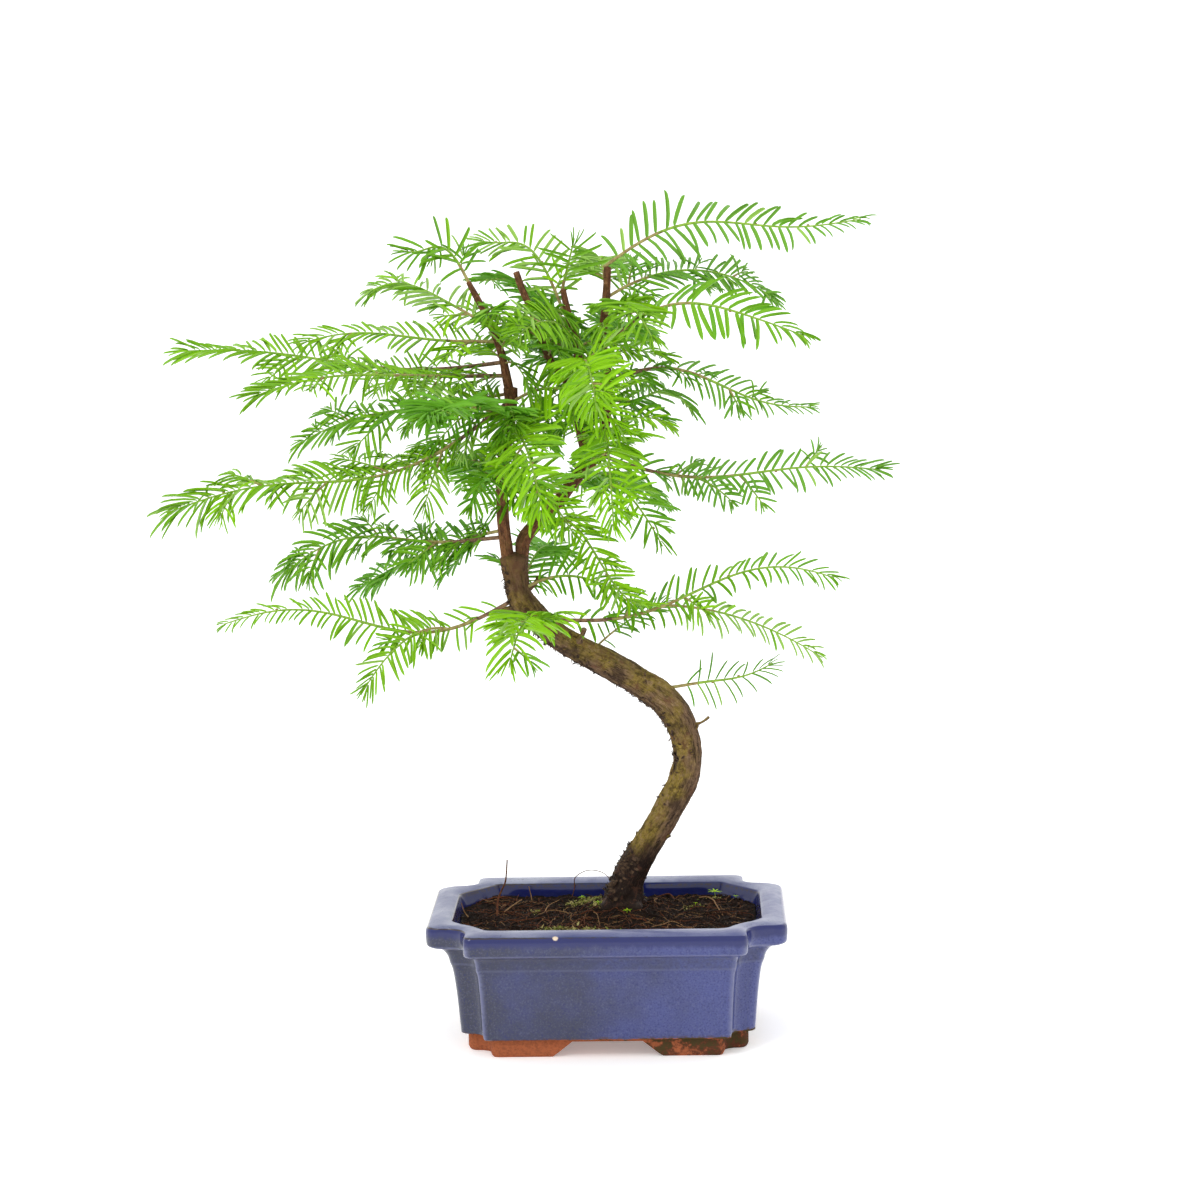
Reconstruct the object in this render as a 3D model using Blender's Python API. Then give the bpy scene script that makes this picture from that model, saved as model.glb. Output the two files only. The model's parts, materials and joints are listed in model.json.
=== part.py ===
"""A dawn redwood trained as a bonsai in a glazed pot, about 0.4 m tall.

Sizes are millimetres, turned to metres where a mesh is made. Places are measured from the middle of
the pot at the level it stands on: X to the right, Y away, Z up. The empty at the end carries the whole
to its own frame, whose origin lies on that level under the middle of pot and crown together.
"""

import math
import random
from collections import namedtuple

import bmesh
import bpy
import numpy as np
from mathutils import Matrix, Vector

MM = 0.001
GAP = 0.3  # clearance between two pieces that touch
WELD, HAIR = 0.002, 0.0015

# The pot: a notched rectangle in plan, wider at the rim than at the foot.
POT_X, POT_Y = 34.7, -11.7  # where the pot's middle stands under the crown
RIM_HEIGHT = 62.0
RIM_LENGTH, RIM_WIDTH = 170.0, 126.0
RIM_PANEL, RIM_WING = 132.0, 86.0  # the long and the short straight faces between the notches
FOOT_LENGTH, FOOT_WIDTH = 139.0, 105.0
FOOT_PANEL, FOOT_WING = 116.0, 80.0
CORNER_ROUND = 3.0
# Height of each level of the outside, and how far it has drawn in from the rim to the foot.
POT_PROFILE = [
    (9.0, 1.0),
    (26.0, 0.91),
    (36.0, 0.83),
    (43.0, 0.73),
    (47.5, 0.60),
    (50.2, 0.40),
    (51.2, 0.12),
    (53.0, 0.0),
    (60.0, 0.0),
    (61.4, 0.03),
    (62.0, 0.11),
]
FEET_TOP, FEET_INSET = 10.0, 3.2
CAVITY_FLOOR = 14.0
CAVITY_TOP = (73.0, 48.0, 18.0, 20.0)  # half length, half width and the cut corner at the rim
CAVITY_FOOT = (62.0, 45.0, 18.0, 20.0)
ARCH_HEIGHT, ARCH_SLOPE = 7.5, 9.5
ARCH_LONG, ARCH_SHORT = 26.0, 20.0  # half width of the openings between the feet, at the ground
RECESS_LENGTH, RECESS_WIDTH, RECESS_HEIGHT = 104.0, 76.0, 8.2
SOIL_TOP, MOUND_TOP, MOUND_FOOT_RADIUS, MOUND_TOP_RADIUS = 55.0, 58.4, 29.0, 13.0

# Wood: each limb's line as x, y, z and radius, from its foot to its tip.
LIMBS = {
    "trunk": [
        (7.2, 14.0, MOUND_TOP + GAP, 11.0),
        (8.0, 13.8, 64.0, 8.8),
        (12.0, 13.0, 76.0, 7.4),
        (28.0, 10.0, 103.0, 6.8),
        (38.0, 8.0, 123.0, 6.7),
        (38.8, 7.0, 139.0, 6.6),
        (31.5, 5.0, 157.0, 7.3),
        (12.0, 4.0, 172.0, 6.8),
        (-20.0, 1.0, 191.0, 6.2),
        (-37.5, 0.0, 208.5, 5.8),
        (-41.0, 0.0, 221.0, 5.6),
        (-41.6, 0.2, 230.0, 6.4),
    ],
    "left_stem": [
        (-44.7, -0.6, 230.4, 3.0),
        (-46.4, -3.0, 249.0, 2.9),
        (-46.3, -4.0, 272.0, 2.8),
        (-43.6, -5.0, 287.0, 2.7),
        (-41.5, -5.0, 303.0, 2.9),
        (-41.5, -5.0, 311.0, 3.3),
    ],
    "right_stem": [
        (-38.2, 1.2, 230.4, 3.1),
        (-36.0, 3.5, 240.0, 3.3),
        (-22.0, 8.0, 254.0, 3.1),
        (-12.0, 10.0, 267.0, 3.0),
        (-3.0, 10.5, 277.5, 3.4),
        (2.0, 11.0, 291.0, 2.4),
        (4.2, 12.0, 312.0, 2.1),
        (1.5, 12.0, 330.0, 2.0),
        (3.7, 12.0, 350.0, 1.9),
        (4.6, 12.0, 366.0, 1.7),
    ],
    "middle_stem": [
        (-7.6, 9.0, 279.9, 2.2),
        (-9.2, 8.4, 292.0, 3.0),
        (-9.6, 8.0, 311.0, 3.2),
        (-9.8, 8.0, 315.0, 2.2),
        (-10.4, 8.0, 332.0, 1.9),
        (-13.8, 8.0, 343.0, 1.7),
        (-16.4, 8.0, 356.0, 1.5),
    ],
    "cut_stem": [
        (-14.25, 6.75, 311.4, 1.9),
        (-23.0, 4.0, 323.0, 1.8),
        (-28.5, 3.0, 340.0, 1.7),
        (-35.4, 2.0, 357.0, 1.6),
        (-38.0, 2.0, 365.0, 1.5),
    ],
    "high_left_stem": [
        (-42.3, -5.0, 311.7, 2.2),
        (-46.0, -6.0, 330.0, 1.8),
        (-53.0, -6.0, 347.0, 1.5),
        (-60.0, -6.0, 361.0, 1.2),
    ],
}
LIMB_SIDES = {"trunk": 12, "left_stem": 8, "right_stem": 8}
LIMB_STEP = {"trunk": 10.0}
STANDING = ("trunk", "left_stem", "right_stem")  # limbs whose foot is cut level
# Cut twigs left on the trunk: height of the root, heading, length, radius.
STUBS = [
    (147, 350, 9.0, 1.3),
    (163, 80, 6.0, 1.5),
    (183, 60, 5.0, 1.6),
    (214, 20, 6.0, 1.4),
    (209, 172, 6.5, 1.5),
]

# Foliage: each shoot leaves a limb at a height, on a heading from +X, and carries a bough of bare wood
# before its needles. Arch and wave bend it, roll turns the flat of its spray from level, and fork rows
# are strong side shoots: place along the shoot, heading, reach, rise and arch.
Shoot = namedtuple(
    "Shoot", "name limb height heading reach rise arch wave roll bough needle side forks"
)
SHOOTS = [
    Shoot("low_left", "trunk", 209, 193, 138, -5, -4, -8, -50, 14, 15, 0, [(0.22, 227, 56, -24, 10)]),
    Shoot("low_front", "trunk", 199, 262, 80, -12, 12, 0, 0, 0, 19, 26, []),
    Shoot("low_right", "trunk", 200, 353, 134, 19, 6, -7, 50, 20, 16, 22, [(0.36, 26, 84, -32, 6)]),
    Shoot("lowest_right", "trunk", 166, 10, 50, 11, -3, 1, 60, 0, 13, 0, []),
    Shoot("low_front_right", "trunk", 217, 346, 54, -12, 10, 0, 40, 0, 13, 0, []),
    Shoot("low_back", "trunk", 214, 80, 90, 4, 12, 0, 10, 0, 16, 28, []),
    Shoot("mid_left", "left_stem", 240, 168, 112, -23, 11, -5, -40, 20, 16, 28, []),
    Shoot("mid_left_back", "left_stem", 243, 146, 92, -36, 4, 0, -35, 0, 16, 30, []),
    Shoot("mid_back", "left_stem", 264, 104, 108, -14, 12, 0, 10, 0, 17, 30, []),
    Shoot("inner_low", "left_stem", 270, 306, 60, -26, 8, 0, 40, 0, 17, 20, []),
    Shoot("hanging_front", "left_stem", 290, 283, 88, -33, 14, 0, 30, 0, 18, 24, []),
    Shoot("front_left", "left_stem", 297, 250, 98, 8, 6, 0, 0, 14, 19, 26, []),
    Shoot("long_left", "left_stem", 302, 189, 164, -47, -9, -7, -35, 24, 18, 38, []),
    Shoot("inner_left", "left_stem", 308, 154, 118, -28, 5, -2, -40, 0, 17, 34, []),
    Shoot("inner_front", "left_stem", 306, 322, 66, -14, 12, 0, 50, 0, 19, 26, []),
    Shoot("bright_left", "high_left_stem", 317, 208, 128, -5, 6, -2, -25, 20, 17, 30, []),
    Shoot("upper_left", "high_left_stem", 323, 171, 160, 6, -2, -3, -25, 32, 17, 30, []),
    Shoot("high_left", "high_left_stem", 333, 184, 92, 0, 4, -2, -30, 0, 16, 22, []),
    Shoot("high_left_back", "high_left_stem", 341, 148, 72, 12, 10, -2, -25, 0, 16, 20, []),
    Shoot("top_left", "high_left_stem", None, 187, 34, 16, 8, 4, -40, 0, 18, 14, []),
    Shoot("top_left_back", "middle_stem", 349, 152, 48, 30, 14, 4, -30, 0, 17, 14, []),
    Shoot("top", "middle_stem", None, 300, 14, 26, 0, 0, 0, 0, 18, 0, []),
    Shoot("back", "middle_stem", 318, 102, 118, 4, 12, 0, 10, 0, 17, 32, []),
    Shoot("high_back", "middle_stem", 338, 122, 90, 20, 8, 0, 15, 0, 16, 24, []),
    Shoot("inner_high", "middle_stem", 334, 248, 66, 2, 8, 0, -40, 0, 17, 26, []),
    Shoot("front", "middle_stem", 316, 276, 108, -10, 14, 0, 20, 18, 19, 28, []),
    Shoot("long_right", "right_stem", 277, 3, 138, -10, -5, -4, 55, 26, 17, 24, [(0.27, 307, 44, -11, 4)]),
    Shoot("inner_right", "right_stem", 269, 314, 54, -33, 10, 0, 10, 0, 16, 16, []),
    Shoot("hanging_right", "right_stem", 246, 318, 70, -33, 2, 8, 20, 0, 15, 16, []),
    Shoot("mid_front_right", "right_stem", 287, 274, 98, -36, 16, 0, 15, 16, 18, 26, []),
    Shoot("low_back_right", "right_stem", 262, 64, 100, -22, 10, 0, 15, 0, 16, 28, []),
    Shoot("upper_right_back", "right_stem", 303, 40, 52, -12, 8, -4, 20, 0, 15, 14, []),
    Shoot("upper_right", "right_stem", 313, 10, 98, -16, 5, 5, 45, 18, 15, 16, []),
    Shoot("high_right", "right_stem", 331, 336, 106, 1, 17, 3, 50, 18, 19, 0, []),
    Shoot("back_right", "right_stem", 326, 80, 102, -4, 12, 0, 15, 0, 17, 28, []),
    Shoot("high_front_right", "right_stem", 345, 290, 68, -12, 10, 0, 5, 0, 18, 18, []),
    Shoot("top_right_back", "right_stem", 353, 28, 90, -6, 13, 0, 35, 0, 16, 22, []),
    Shoot("top_right", "right_stem", None, 4, 120, 19, 9, 5, 60, 0, 17, 0, []),
    Shoot("top_back", "right_stem", 356, 96, 78, 6, 10, 0, 10, 0, 16, 22, []),
]
BOUGH_RADIUS, BOUGH_TIP_RADIUS, BOUGH_ROWS = 1.7, 1.2, 5
MOST_TURNS = 12  # a mass whose blades join badly is grown again from its next seed
PATH_STEP = 3.0
TOOTH_PITCH = 8.8  # distance between the teeth of a blade
SIDE_PITCH = 28.0  # distance between side shoots
SIDE_START, SIDE_END = 10.0, 0.80  # the first stands this far past the bough; none in the last fifth
SIDE_ANGLE, SIDE_TILT, SIDE_LEAN = (44, 58), 16, 25  # degrees from the shoot, off its flat, about itself
SIDE_LENGTH, SIDE_SAG, SIDE_SPREAD = (0.8, 1.15), (0.08, 0.2), (0.85, 1.15)
SIDE_LEAST = 14.0  # a shorter side shoot is left out
SPINE_HALF, FORK_SPINE_HALF, SIDE_SPINE_HALF = 1.0, 0.8, 0.65
FORK_NEEDLE, SIDE_NEEDLE = 0.85, 0.75  # needles of forks and side shoots, as parts of the shoot's own
SPINE_FLATNESS, SPINE_TAPER = 0.8, 0.45
MAIN_FIRST, FORK_FIRST, SIDE_FIRST = 5.0, 9.0, 7.0  # bare stretch before the first tooth
NEEDLE_LEAN = (62, 24)  # degrees off the spine at the foot, and how much less at the tip
NEEDLE_LEAST, NEEDLE_PEAK, TIP_NEEDLE = 0.72, 1.25, 0.55
NEEDLE_DROOP = 0.12  # how far a needle's tip hangs below its foot, to its reach
NEEDLE_HALF_THICKNESS, FLESH_REACH = 0.25, 6.0
TRIES = (1.0, 0.75, 0.5)  # lengths tried for a tooth that has no room
SPACE_MARGIN = 1.6  # a mass keeps this much nearer to its own shoot than to any other
LIMB_MARGIN = 1.2

LEAF_GREEN = (0.145, 0.36, 0.035)
BARK_BROWN = (0.13, 0.095, 0.055)
STEM_BROWN = (0.16, 0.075, 0.045)
GLAZE_BLUE = (0.075, 0.085, 0.28)
SOIL_BROWN = (0.035, 0.02, 0.012)

for old in list(bpy.data.objects):
    bpy.data.objects.remove(old)

scene = bpy.context.scene
bonsai = bpy.data.collections.new("dawn_redwood_bonsai")
helpers = bpy.data.collections.new("cutters")
scene.collection.children.link(bonsai)
scene.collection.children.link(helpers)
planting = bpy.data.objects.new("planting", None)
planting.location = (POT_X * MM, POT_Y * MM, 0)
bonsai.objects.link(planting)


def material(name, colour, roughness):
    made = bpy.data.materials.new(name)
    made.use_nodes = True
    shader = made.node_tree.nodes["Principled BSDF"]
    shader.inputs["Base Color"].default_value = (*colour, 1)
    shader.inputs["Roughness"].default_value = roughness
    shader.inputs["Metallic"].default_value = 0.0
    return made


def keep(name, mesh, finish):
    """The mesh as a named piece of the plant."""
    piece = bpy.data.objects.new(name, mesh)
    piece.parent = planting
    piece.data.materials.clear()
    piece.data.materials.append(finish)
    bonsai.objects.link(piece)
    return piece


def helper(name, mesh):
    made = bpy.data.objects.new(name, mesh)
    made.hide_render = True
    made.display_type = "WIRE"
    helpers.objects.link(made)
    return made


def evaluated_mesh(obj):
    """The object's mesh with its modifiers applied."""
    bpy.context.view_layer.update()
    graph = bpy.context.evaluated_depsgraph_get()
    return bpy.data.meshes.new_from_object(obj.evaluated_get(graph))


def welded(mesh, within):
    """The mesh with points nearer than this joined, as where a curve's loose caps meet its sides."""
    shape = bmesh.new()
    shape.from_mesh(mesh)
    bmesh.ops.remove_doubles(shape, verts=shape.verts, dist=within * MM)
    shape.to_mesh(mesh)
    shape.free()
    return mesh


def combined(name, base, others, operation, solver="EXACT"):
    """One mesh from a base object and a list of others, which are all used up."""
    group = bpy.data.collections.new(name)
    scene.collection.children.link(group)
    for other in others:
        group.objects.link(other)
    boolean = base.modifiers.new(name, "BOOLEAN")
    boolean.operation = operation
    boolean.operand_type = "COLLECTION"
    boolean.collection = group
    boolean.solver = solver
    mesh = evaluated_mesh(base)
    for used in [base, *others]:
        bpy.data.objects.remove(used)
    bpy.data.collections.remove(group)
    return mesh


def largest_shell(mesh):
    """Fills hollows that the joining sealed and drops loose scraps, by keeping the largest shell."""
    shape = bmesh.new()
    shape.from_mesh(mesh)
    bmesh.ops.triangulate(shape, faces=shape.faces)
    bmesh.ops.remove_doubles(shape, verts=shape.verts, dist=HAIR * MM)
    bmesh.ops.dissolve_degenerate(shape, edges=shape.edges, dist=HAIR * MM)
    bmesh.ops.triangulate(shape, faces=shape.faces)
    waiting, shells = set(shape.faces), []
    for first in shape.faces:
        if first not in waiting:
            continue
        waiting.remove(first)
        shell, front = [first], [first]
        while front:
            for edge in front.pop().edges:
                joined = edge.link_faces if len(edge.link_faces) == 2 else ()
                for face in waiting.intersection(joined):
                    waiting.remove(face)
                    shell.append(face)
                    front.append(face)
        shells.append(shell)
    shells.sort(key=len)
    for scrap in shells[:-1]:
        bmesh.ops.delete(shape, geom=scrap, context="FACES")
    closed = all(len(edge.link_faces) == 2 for edge in shape.edges)
    shape.to_mesh(mesh)
    shape.free()
    return mesh, closed


def notched_outline(length, width, panel, wing, rounding):
    """Points round a rectangle whose four corners are cut back in a square notch, counter-clockwise."""
    far, wide, near, low = length / 2, width / 2, panel / 2, wing / 2
    quarter = []
    for x, y, bend in ((far, low, 1), (near, low, -1), (near, wide, 1)):
        middle = Vector((x, y)) - Vector((rounding, rounding)) * bend
        first = 0.0 if bend > 0 else 1.5 * math.pi
        for step in range(3):
            angle = first + bend * step * math.pi / 4
            quarter.append(middle + Vector((math.cos(angle), math.sin(angle))) * rounding)
    back = quarter[::-1]
    ring = quarter + [Vector((-p.x, p.y)) for p in back]
    ring += [-p for p in quarter] + [Vector((p.x, -p.y)) for p in back]
    return ring


def cut_corner_outline(half_length, half_width, corner_length, corner_width):
    """Points round a rectangle with its four corners cut off, counter-clockwise."""
    ring = []
    for x, y, along_first in ((1, -1, True), (1, 1, False), (-1, 1, True), (-1, -1, False)):
        inner = Vector((x * (half_length - corner_length), y * half_width))
        outer = Vector((x * half_length, y * (half_width - corner_width)))
        ring += [inner, outer] if along_first else [outer, inner]
    return ring


def loft(name, levels):
    """A closed mesh through outlines of equal count, given as (height, points)."""
    shape = bmesh.new()
    rings = []
    for height, ring in levels:
        rings.append([shape.verts.new((p.x * MM, p.y * MM, height * MM)) for p in ring])
    for lower, upper in zip(rings, rings[1:]):
        for i in range(len(lower)):
            j = (i + 1) % len(lower)
            shape.faces.new((lower[i], lower[j], upper[j], upper[i]))
    shape.faces.new(reversed(rings[0]))
    shape.faces.new(rings[-1])
    bmesh.ops.recalc_face_normals(shape, faces=shape.faces)
    mesh = bpy.data.meshes.new(name)
    shape.to_mesh(mesh)
    shape.free()
    return mesh


def smooth_line(points, step):
    """Places and radii read every step along a smooth curve through x, y, z, radius points."""
    rows = np.array(points, float)
    ends = np.vstack([2 * rows[0] - rows[1], rows, 2 * rows[-1] - rows[-2]])
    line = []
    for a, b, c, d in zip(ends, ends[1:], ends[2:], ends[3:]):
        count = max(2, round(float(np.linalg.norm(c[:3] - b[:3])) / step))
        for i in range(count):
            t = i / count
            curve = 2 * b + (c - a) * t + (2 * a - 5 * b + 4 * c - d) * t**2
            line.append((curve + (3 * b - a - 3 * c + d) * t**3) / 2)
    line.append(rows[-1])
    return np.array(line)


def squared(line, foot, tip):
    """The line with its first or last stretch turned upright, so that its flat end lies level."""
    if foot:
        line[1, :2] = line[0, :2]
    if tip:
        line[-2, :2] = line[-1, :2]
    return line


def tube_mesh(line, sides):
    """A round tapering tube with flat ends, from rows of x, y, z and radius."""
    curve = bpy.data.curves.new("tube", "CURVE")
    curve.dimensions = "3D"
    curve.bevel_depth = MM
    curve.bevel_resolution = sides // 2 - 2
    curve.use_fill_caps = True
    spline = curve.splines.new("POLY")
    spline.points.add(len(line) - 1)
    for point, (x, y, z, radius) in zip(spline.points, line):
        point.co = (x * MM, y * MM, z * MM, 1)
        point.radius = radius
    tube = bpy.data.objects.new("tube", curve)
    scene.collection.objects.link(tube)
    mesh = welded(evaluated_mesh(tube), WELD)
    bpy.data.objects.remove(tube)
    return mesh


def make_pot():
    levels = []
    for height, drawn in POT_PROFILE:
        pairs = (
            (RIM_LENGTH, FOOT_LENGTH),
            (RIM_WIDTH, FOOT_WIDTH),
            (RIM_PANEL, FOOT_PANEL),
            (RIM_WING, FOOT_WING),
        )
        sizes = [rim + (foot - rim) * drawn for rim, foot in pairs]
        levels.append((height, notched_outline(*sizes, CORNER_ROUND)))
    body = helper("pot_body", loft("pot_body", levels))

    inset = 2 * FEET_INSET
    sizes = (FOOT_LENGTH - inset, FOOT_WIDTH - inset, FOOT_PANEL - inset, FOOT_WING - inset)
    under = [size - 3 for size in sizes]
    rings = [(0.0, notched_outline(*under, 2)), (1.5, notched_outline(*sizes, 2))]
    rings.append((FEET_TOP, notched_outline(*sizes, 2)))
    feet = helper("feet", loft("feet", rings))
    pot = helper("pot_block", combined("pot_union", body, [feet], "UNION"))

    floor, top = cut_corner_outline(*CAVITY_FOOT), cut_corner_outline(*CAVITY_TOP)
    rise = [t + (t - f) * 0.1 for t, f in zip(top, floor)]
    over = RIM_HEIGHT + (RIM_HEIGHT - CAVITY_FLOOR) * 0.1
    cutters = [helper("cavity", loft("cavity", [(CAVITY_FLOOR, floor), (over, rise)]))]

    shape = bmesh.new()
    bmesh.ops.create_cube(shape, size=1)
    scale = Vector((RECESS_LENGTH, RECESS_WIDTH, 2 * RECESS_HEIGHT)) * MM
    bmesh.ops.scale(shape, verts=shape.verts, vec=scale)
    recess = bpy.data.meshes.new("recess")
    shape.to_mesh(recess)
    shape.free()
    cutters.append(helper("recess", recess))

    for half, reach, turned in ((ARCH_LONG, FOOT_WIDTH, 0), (ARCH_SHORT, FOOT_LENGTH, 90)):
        flat = bpy.data.curves.new("arch", "CURVE")
        flat.dimensions = "2D"
        flat.fill_mode = "BOTH"
        flat.extrude = reach * MM
        spline = flat.splines.new("POLY")
        spline.points.add(3)
        top_half = half - ARCH_SLOPE
        below = 2.0
        spread = half + ARCH_SLOPE * below / ARCH_HEIGHT
        corners = [(-spread, -below), (spread, -below)]
        corners += [(top_half, ARCH_HEIGHT), (-top_half, ARCH_HEIGHT)]
        for point, (x, z) in zip(spline.points, corners):
            point.co = (x * MM, z * MM, 0, 1)
        spline.use_cyclic_u = True
        guide = bpy.data.objects.new("arch_guide", flat)
        scene.collection.objects.link(guide)
        mesh = welded(evaluated_mesh(guide), WELD)
        bpy.data.objects.remove(guide)
        upright = Matrix.Rotation(math.radians(90), 4, "X")
        mesh.transform(Matrix.Rotation(math.radians(turned), 4, "Z") @ upright)
        cutters.append(helper("arch", mesh))
    mesh = combined("pot_cut", pot, cutters, "DIFFERENCE")
    pot = keep("pot", mesh, material("blue_glaze", GLAZE_BLUE, 0.2))
    pot.data.set_sharp_from_angle(angle=math.radians(35))


def make_soil():
    share = (SOIL_TOP - CAVITY_FLOOR) / (RIM_HEIGHT - CAVITY_FLOOR)
    foot, top = Vector(CAVITY_FOOT), Vector(CAVITY_TOP)
    less = Vector((GAP, GAP, 0, 0))
    low = cut_corner_outline(*(foot - less))
    high = cut_corner_outline(*(foot.lerp(top, share) - less))
    block = helper("soil_block", loft("soil_block", [(CAVITY_FLOOR + GAP, low), (SOIL_TOP, high)]))
    shape = bmesh.new()
    bmesh.ops.create_cone(
        shape,
        cap_ends=True,
        segments=24,
        radius1=MOUND_FOOT_RADIUS * MM,
        radius2=MOUND_TOP_RADIUS * MM,
        depth=(MOUND_TOP - SOIL_TOP + 2) * MM,
    )
    x, y = LIMBS["trunk"][0][:2]
    middle = Vector((x, y, (MOUND_TOP + SOIL_TOP - 2) / 2)) * MM
    bmesh.ops.translate(shape, verts=shape.verts, vec=middle)
    mesh = bpy.data.meshes.new("mound")
    shape.to_mesh(mesh)
    shape.free()
    mesh = combined("soil_union", block, [helper("mound", mesh)], "UNION")
    keep("soil", mesh, material("damp_soil", SOIL_BROWN, 0.95))


def limb_at(name, height):
    """Centre, direction and radius of a limb at a height."""
    line = smooth_line(LIMBS[name], PATH_STEP)
    above = int(np.argmax(line[:, 2] >= height))
    above = min(max(above, 1), len(line) - 1)
    low, high = line[above - 1], line[above]
    share = (height - low[2]) / (high[2] - low[2])
    place = low + (high - low) * share
    return Vector(place[:3]), Vector(high[:3] - low[:3]).normalized(), float(place[3])


def make_limbs():
    bark = material("bark", BARK_BROWN, 0.85)
    stem_bark = material("stem_bark", STEM_BROWN, 0.8)
    for name, points in LIMBS.items():
        line = smooth_line(points, LIMB_STEP.get(name, 8.0))
        line = squared(line, name in STANDING, name == "trunk")
        mesh = tube_mesh(line, LIMB_SIDES.get(name, 6))
        if name != "trunk":
            keep(name, mesh, stem_bark)
            continue
        stubs = []
        for height, heading, length, radius in STUBS:
            centre, along, thick = limb_at("trunk", height)
            out = Vector((math.cos(math.radians(heading)), math.sin(math.radians(heading)), 0.3))
            out = (out - along * out.dot(along)).normalized()
            root, tip = centre + out * (thick - 2.5), centre + out * (thick + length)
            stubs.append(helper("stub", tube_mesh([(*root, radius * 1.3), (*tip, radius)], 6)))
        keep(name, combined("trunk_union", helper("bole", mesh), stubs, "UNION"), bark)


class Axis:
    """A shoot's line, read by distance along it. The flat of its needles is square to its normal."""

    def __init__(self, places, normal):
        self.places = np.array([tuple(place) for place in places])
        steps = np.linalg.norm(np.diff(self.places, axis=0), axis=1)
        self.lengths = np.concatenate([[0.0], np.cumsum(steps)])
        self.length = float(self.lengths[-1])
        self.ways = np.gradient(self.places, self.lengths, axis=0)
        self.normal = normal

    def at(self, distance):
        """Place, direction, side and normal; the line runs on straight past its ends."""
        inside = min(max(distance, 0.0), self.length)
        place = Vector([np.interp(inside, self.lengths, self.places[:, k]) for k in range(3)])
        along = Vector([np.interp(inside, self.lengths, self.ways[:, k]) for k in range(3)])
        along.normalize()
        side = self.normal.cross(along).normalized()
        return place + along * (distance - inside), along, side, along.cross(side)


def shoot_axis(start, heading, reach, rise, arch, wave, roll):
    """The line of a shoot: it bends up by arch at its middle and by wave in an S."""
    angle = math.radians(heading)
    ahead = Vector((math.cos(angle), math.sin(angle), 0))
    count = max(4, round(math.hypot(reach, rise) / PATH_STEP))
    places = []
    for i in range(count + 1):
        t = i / count
        lift = rise * t + arch * 4 * t * (1 - t) + wave * math.sin(2 * math.pi * t)
        places.append(start + ahead * reach * t + Vector((0, 0, lift)))
    along = (places[-1] - places[0]).normalized()
    normal = Matrix.Rotation(math.radians(roll), 3, along) @ Vector((0, 0, 1))
    if abs(along.z) > 0.85:
        normal = Matrix.Rotation(math.radians(roll), 3, along) @ ahead
    return Axis(places, normal)


def clear_start(shoot, ahead):
    """Where a shoot's flat foot comes clear of its limb, stepping out from the limb's middle."""
    limb = smooth_line(LIMBS[shoot.limb], 0.5)
    start = limb_at(shoot.limb, shoot.height)[0]
    own = BOUGH_RADIUS if shoot.bough else SPINE_HALF
    slope = shoot.rise + 4 * shoot.arch + 2 * math.pi * shoot.wave
    along = (ahead * shoot.reach + Vector((0, 0, slope))).normalized()
    side = along.cross(Vector((0, 0, 1))).normalized()
    over = side.cross(along)
    while True:
        start = start + ahead * 0.1
        rim = [start + step * own for step in (side, -side, over, -over)]
        away = np.linalg.norm(np.array([start, *rim])[:, None] - limb[:, :3], axis=2)
        if (away - limb[:, 3]).min() > GAP:
            return start


def tip_start(shoot, values):
    """Where a shoot's foot stands just clear of the flat end of its limb."""
    below, last = (Vector(row[:3]) for row in smooth_line(LIMBS[shoot.limb], PATH_STEP)[-2:])
    upward = (last - below).normalized()
    _, _, side, normal = shoot_axis(last, shoot.heading, *values).at(0)
    reach = abs(side.dot(upward)) + SPINE_FLATNESS * abs(normal.dot(upward))
    return last + upward * (GAP + reach * SPINE_HALF)


def main_axes(shoot):
    """A shoot's own line and those of its forks."""
    angle = math.radians(shoot.heading)
    ahead = Vector((math.cos(angle), math.sin(angle), 0))
    values = (shoot.reach, shoot.rise, shoot.arch, shoot.wave, shoot.roll)
    start = tip_start(shoot, values) if shoot.height is None else clear_start(shoot, ahead)
    lines = [shoot_axis(start, shoot.heading, *values)]
    for share, heading, reach, rise, arch in shoot.forks:
        root = lines[0].at(share * lines[0].length)[0]
        lines.append(shoot_axis(root, heading, reach, rise, arch, 0, shoot.roll))
    return lines


def side_axes(shoot, seed, line):
    """Side shoots by turns left and right, shorter towards the tip, with a seeded turn and length."""
    found = []
    distance, turn = shoot.bough + SIDE_START, 1
    rule = random.Random(seed)
    while shoot.side and distance < line.length * SIDE_END:
        place, along, side, normal = line.at(distance)
        angle = math.radians(rule.uniform(*SIDE_ANGLE))
        tilt = math.radians(rule.uniform(-SIDE_TILT, SIDE_TILT))
        length = shoot.side * (1 - 0.5 * distance / line.length) * rule.uniform(*SIDE_LENGTH)
        flat = side * (turn * math.cos(tilt)) + normal * math.sin(tilt)
        out = along * math.cos(angle) + flat * math.sin(angle)
        sag = rule.uniform(*SIDE_SAG)
        steps = max(3, round(length / PATH_STEP))
        places = []
        for i in range(steps + 1):
            t = i / steps
            places.append(place + out * length * t - Vector((0, 0, sag * length * t * t)))
        lean = math.radians(rule.uniform(-SIDE_LEAN, SIDE_LEAN))
        found.append((Axis(places, Matrix.Rotation(lean, 3, out) @ normal), distance, turn))
        distance += SIDE_PITCH * rule.uniform(*SIDE_SPREAD)
        turn = -turn
    return found


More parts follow.
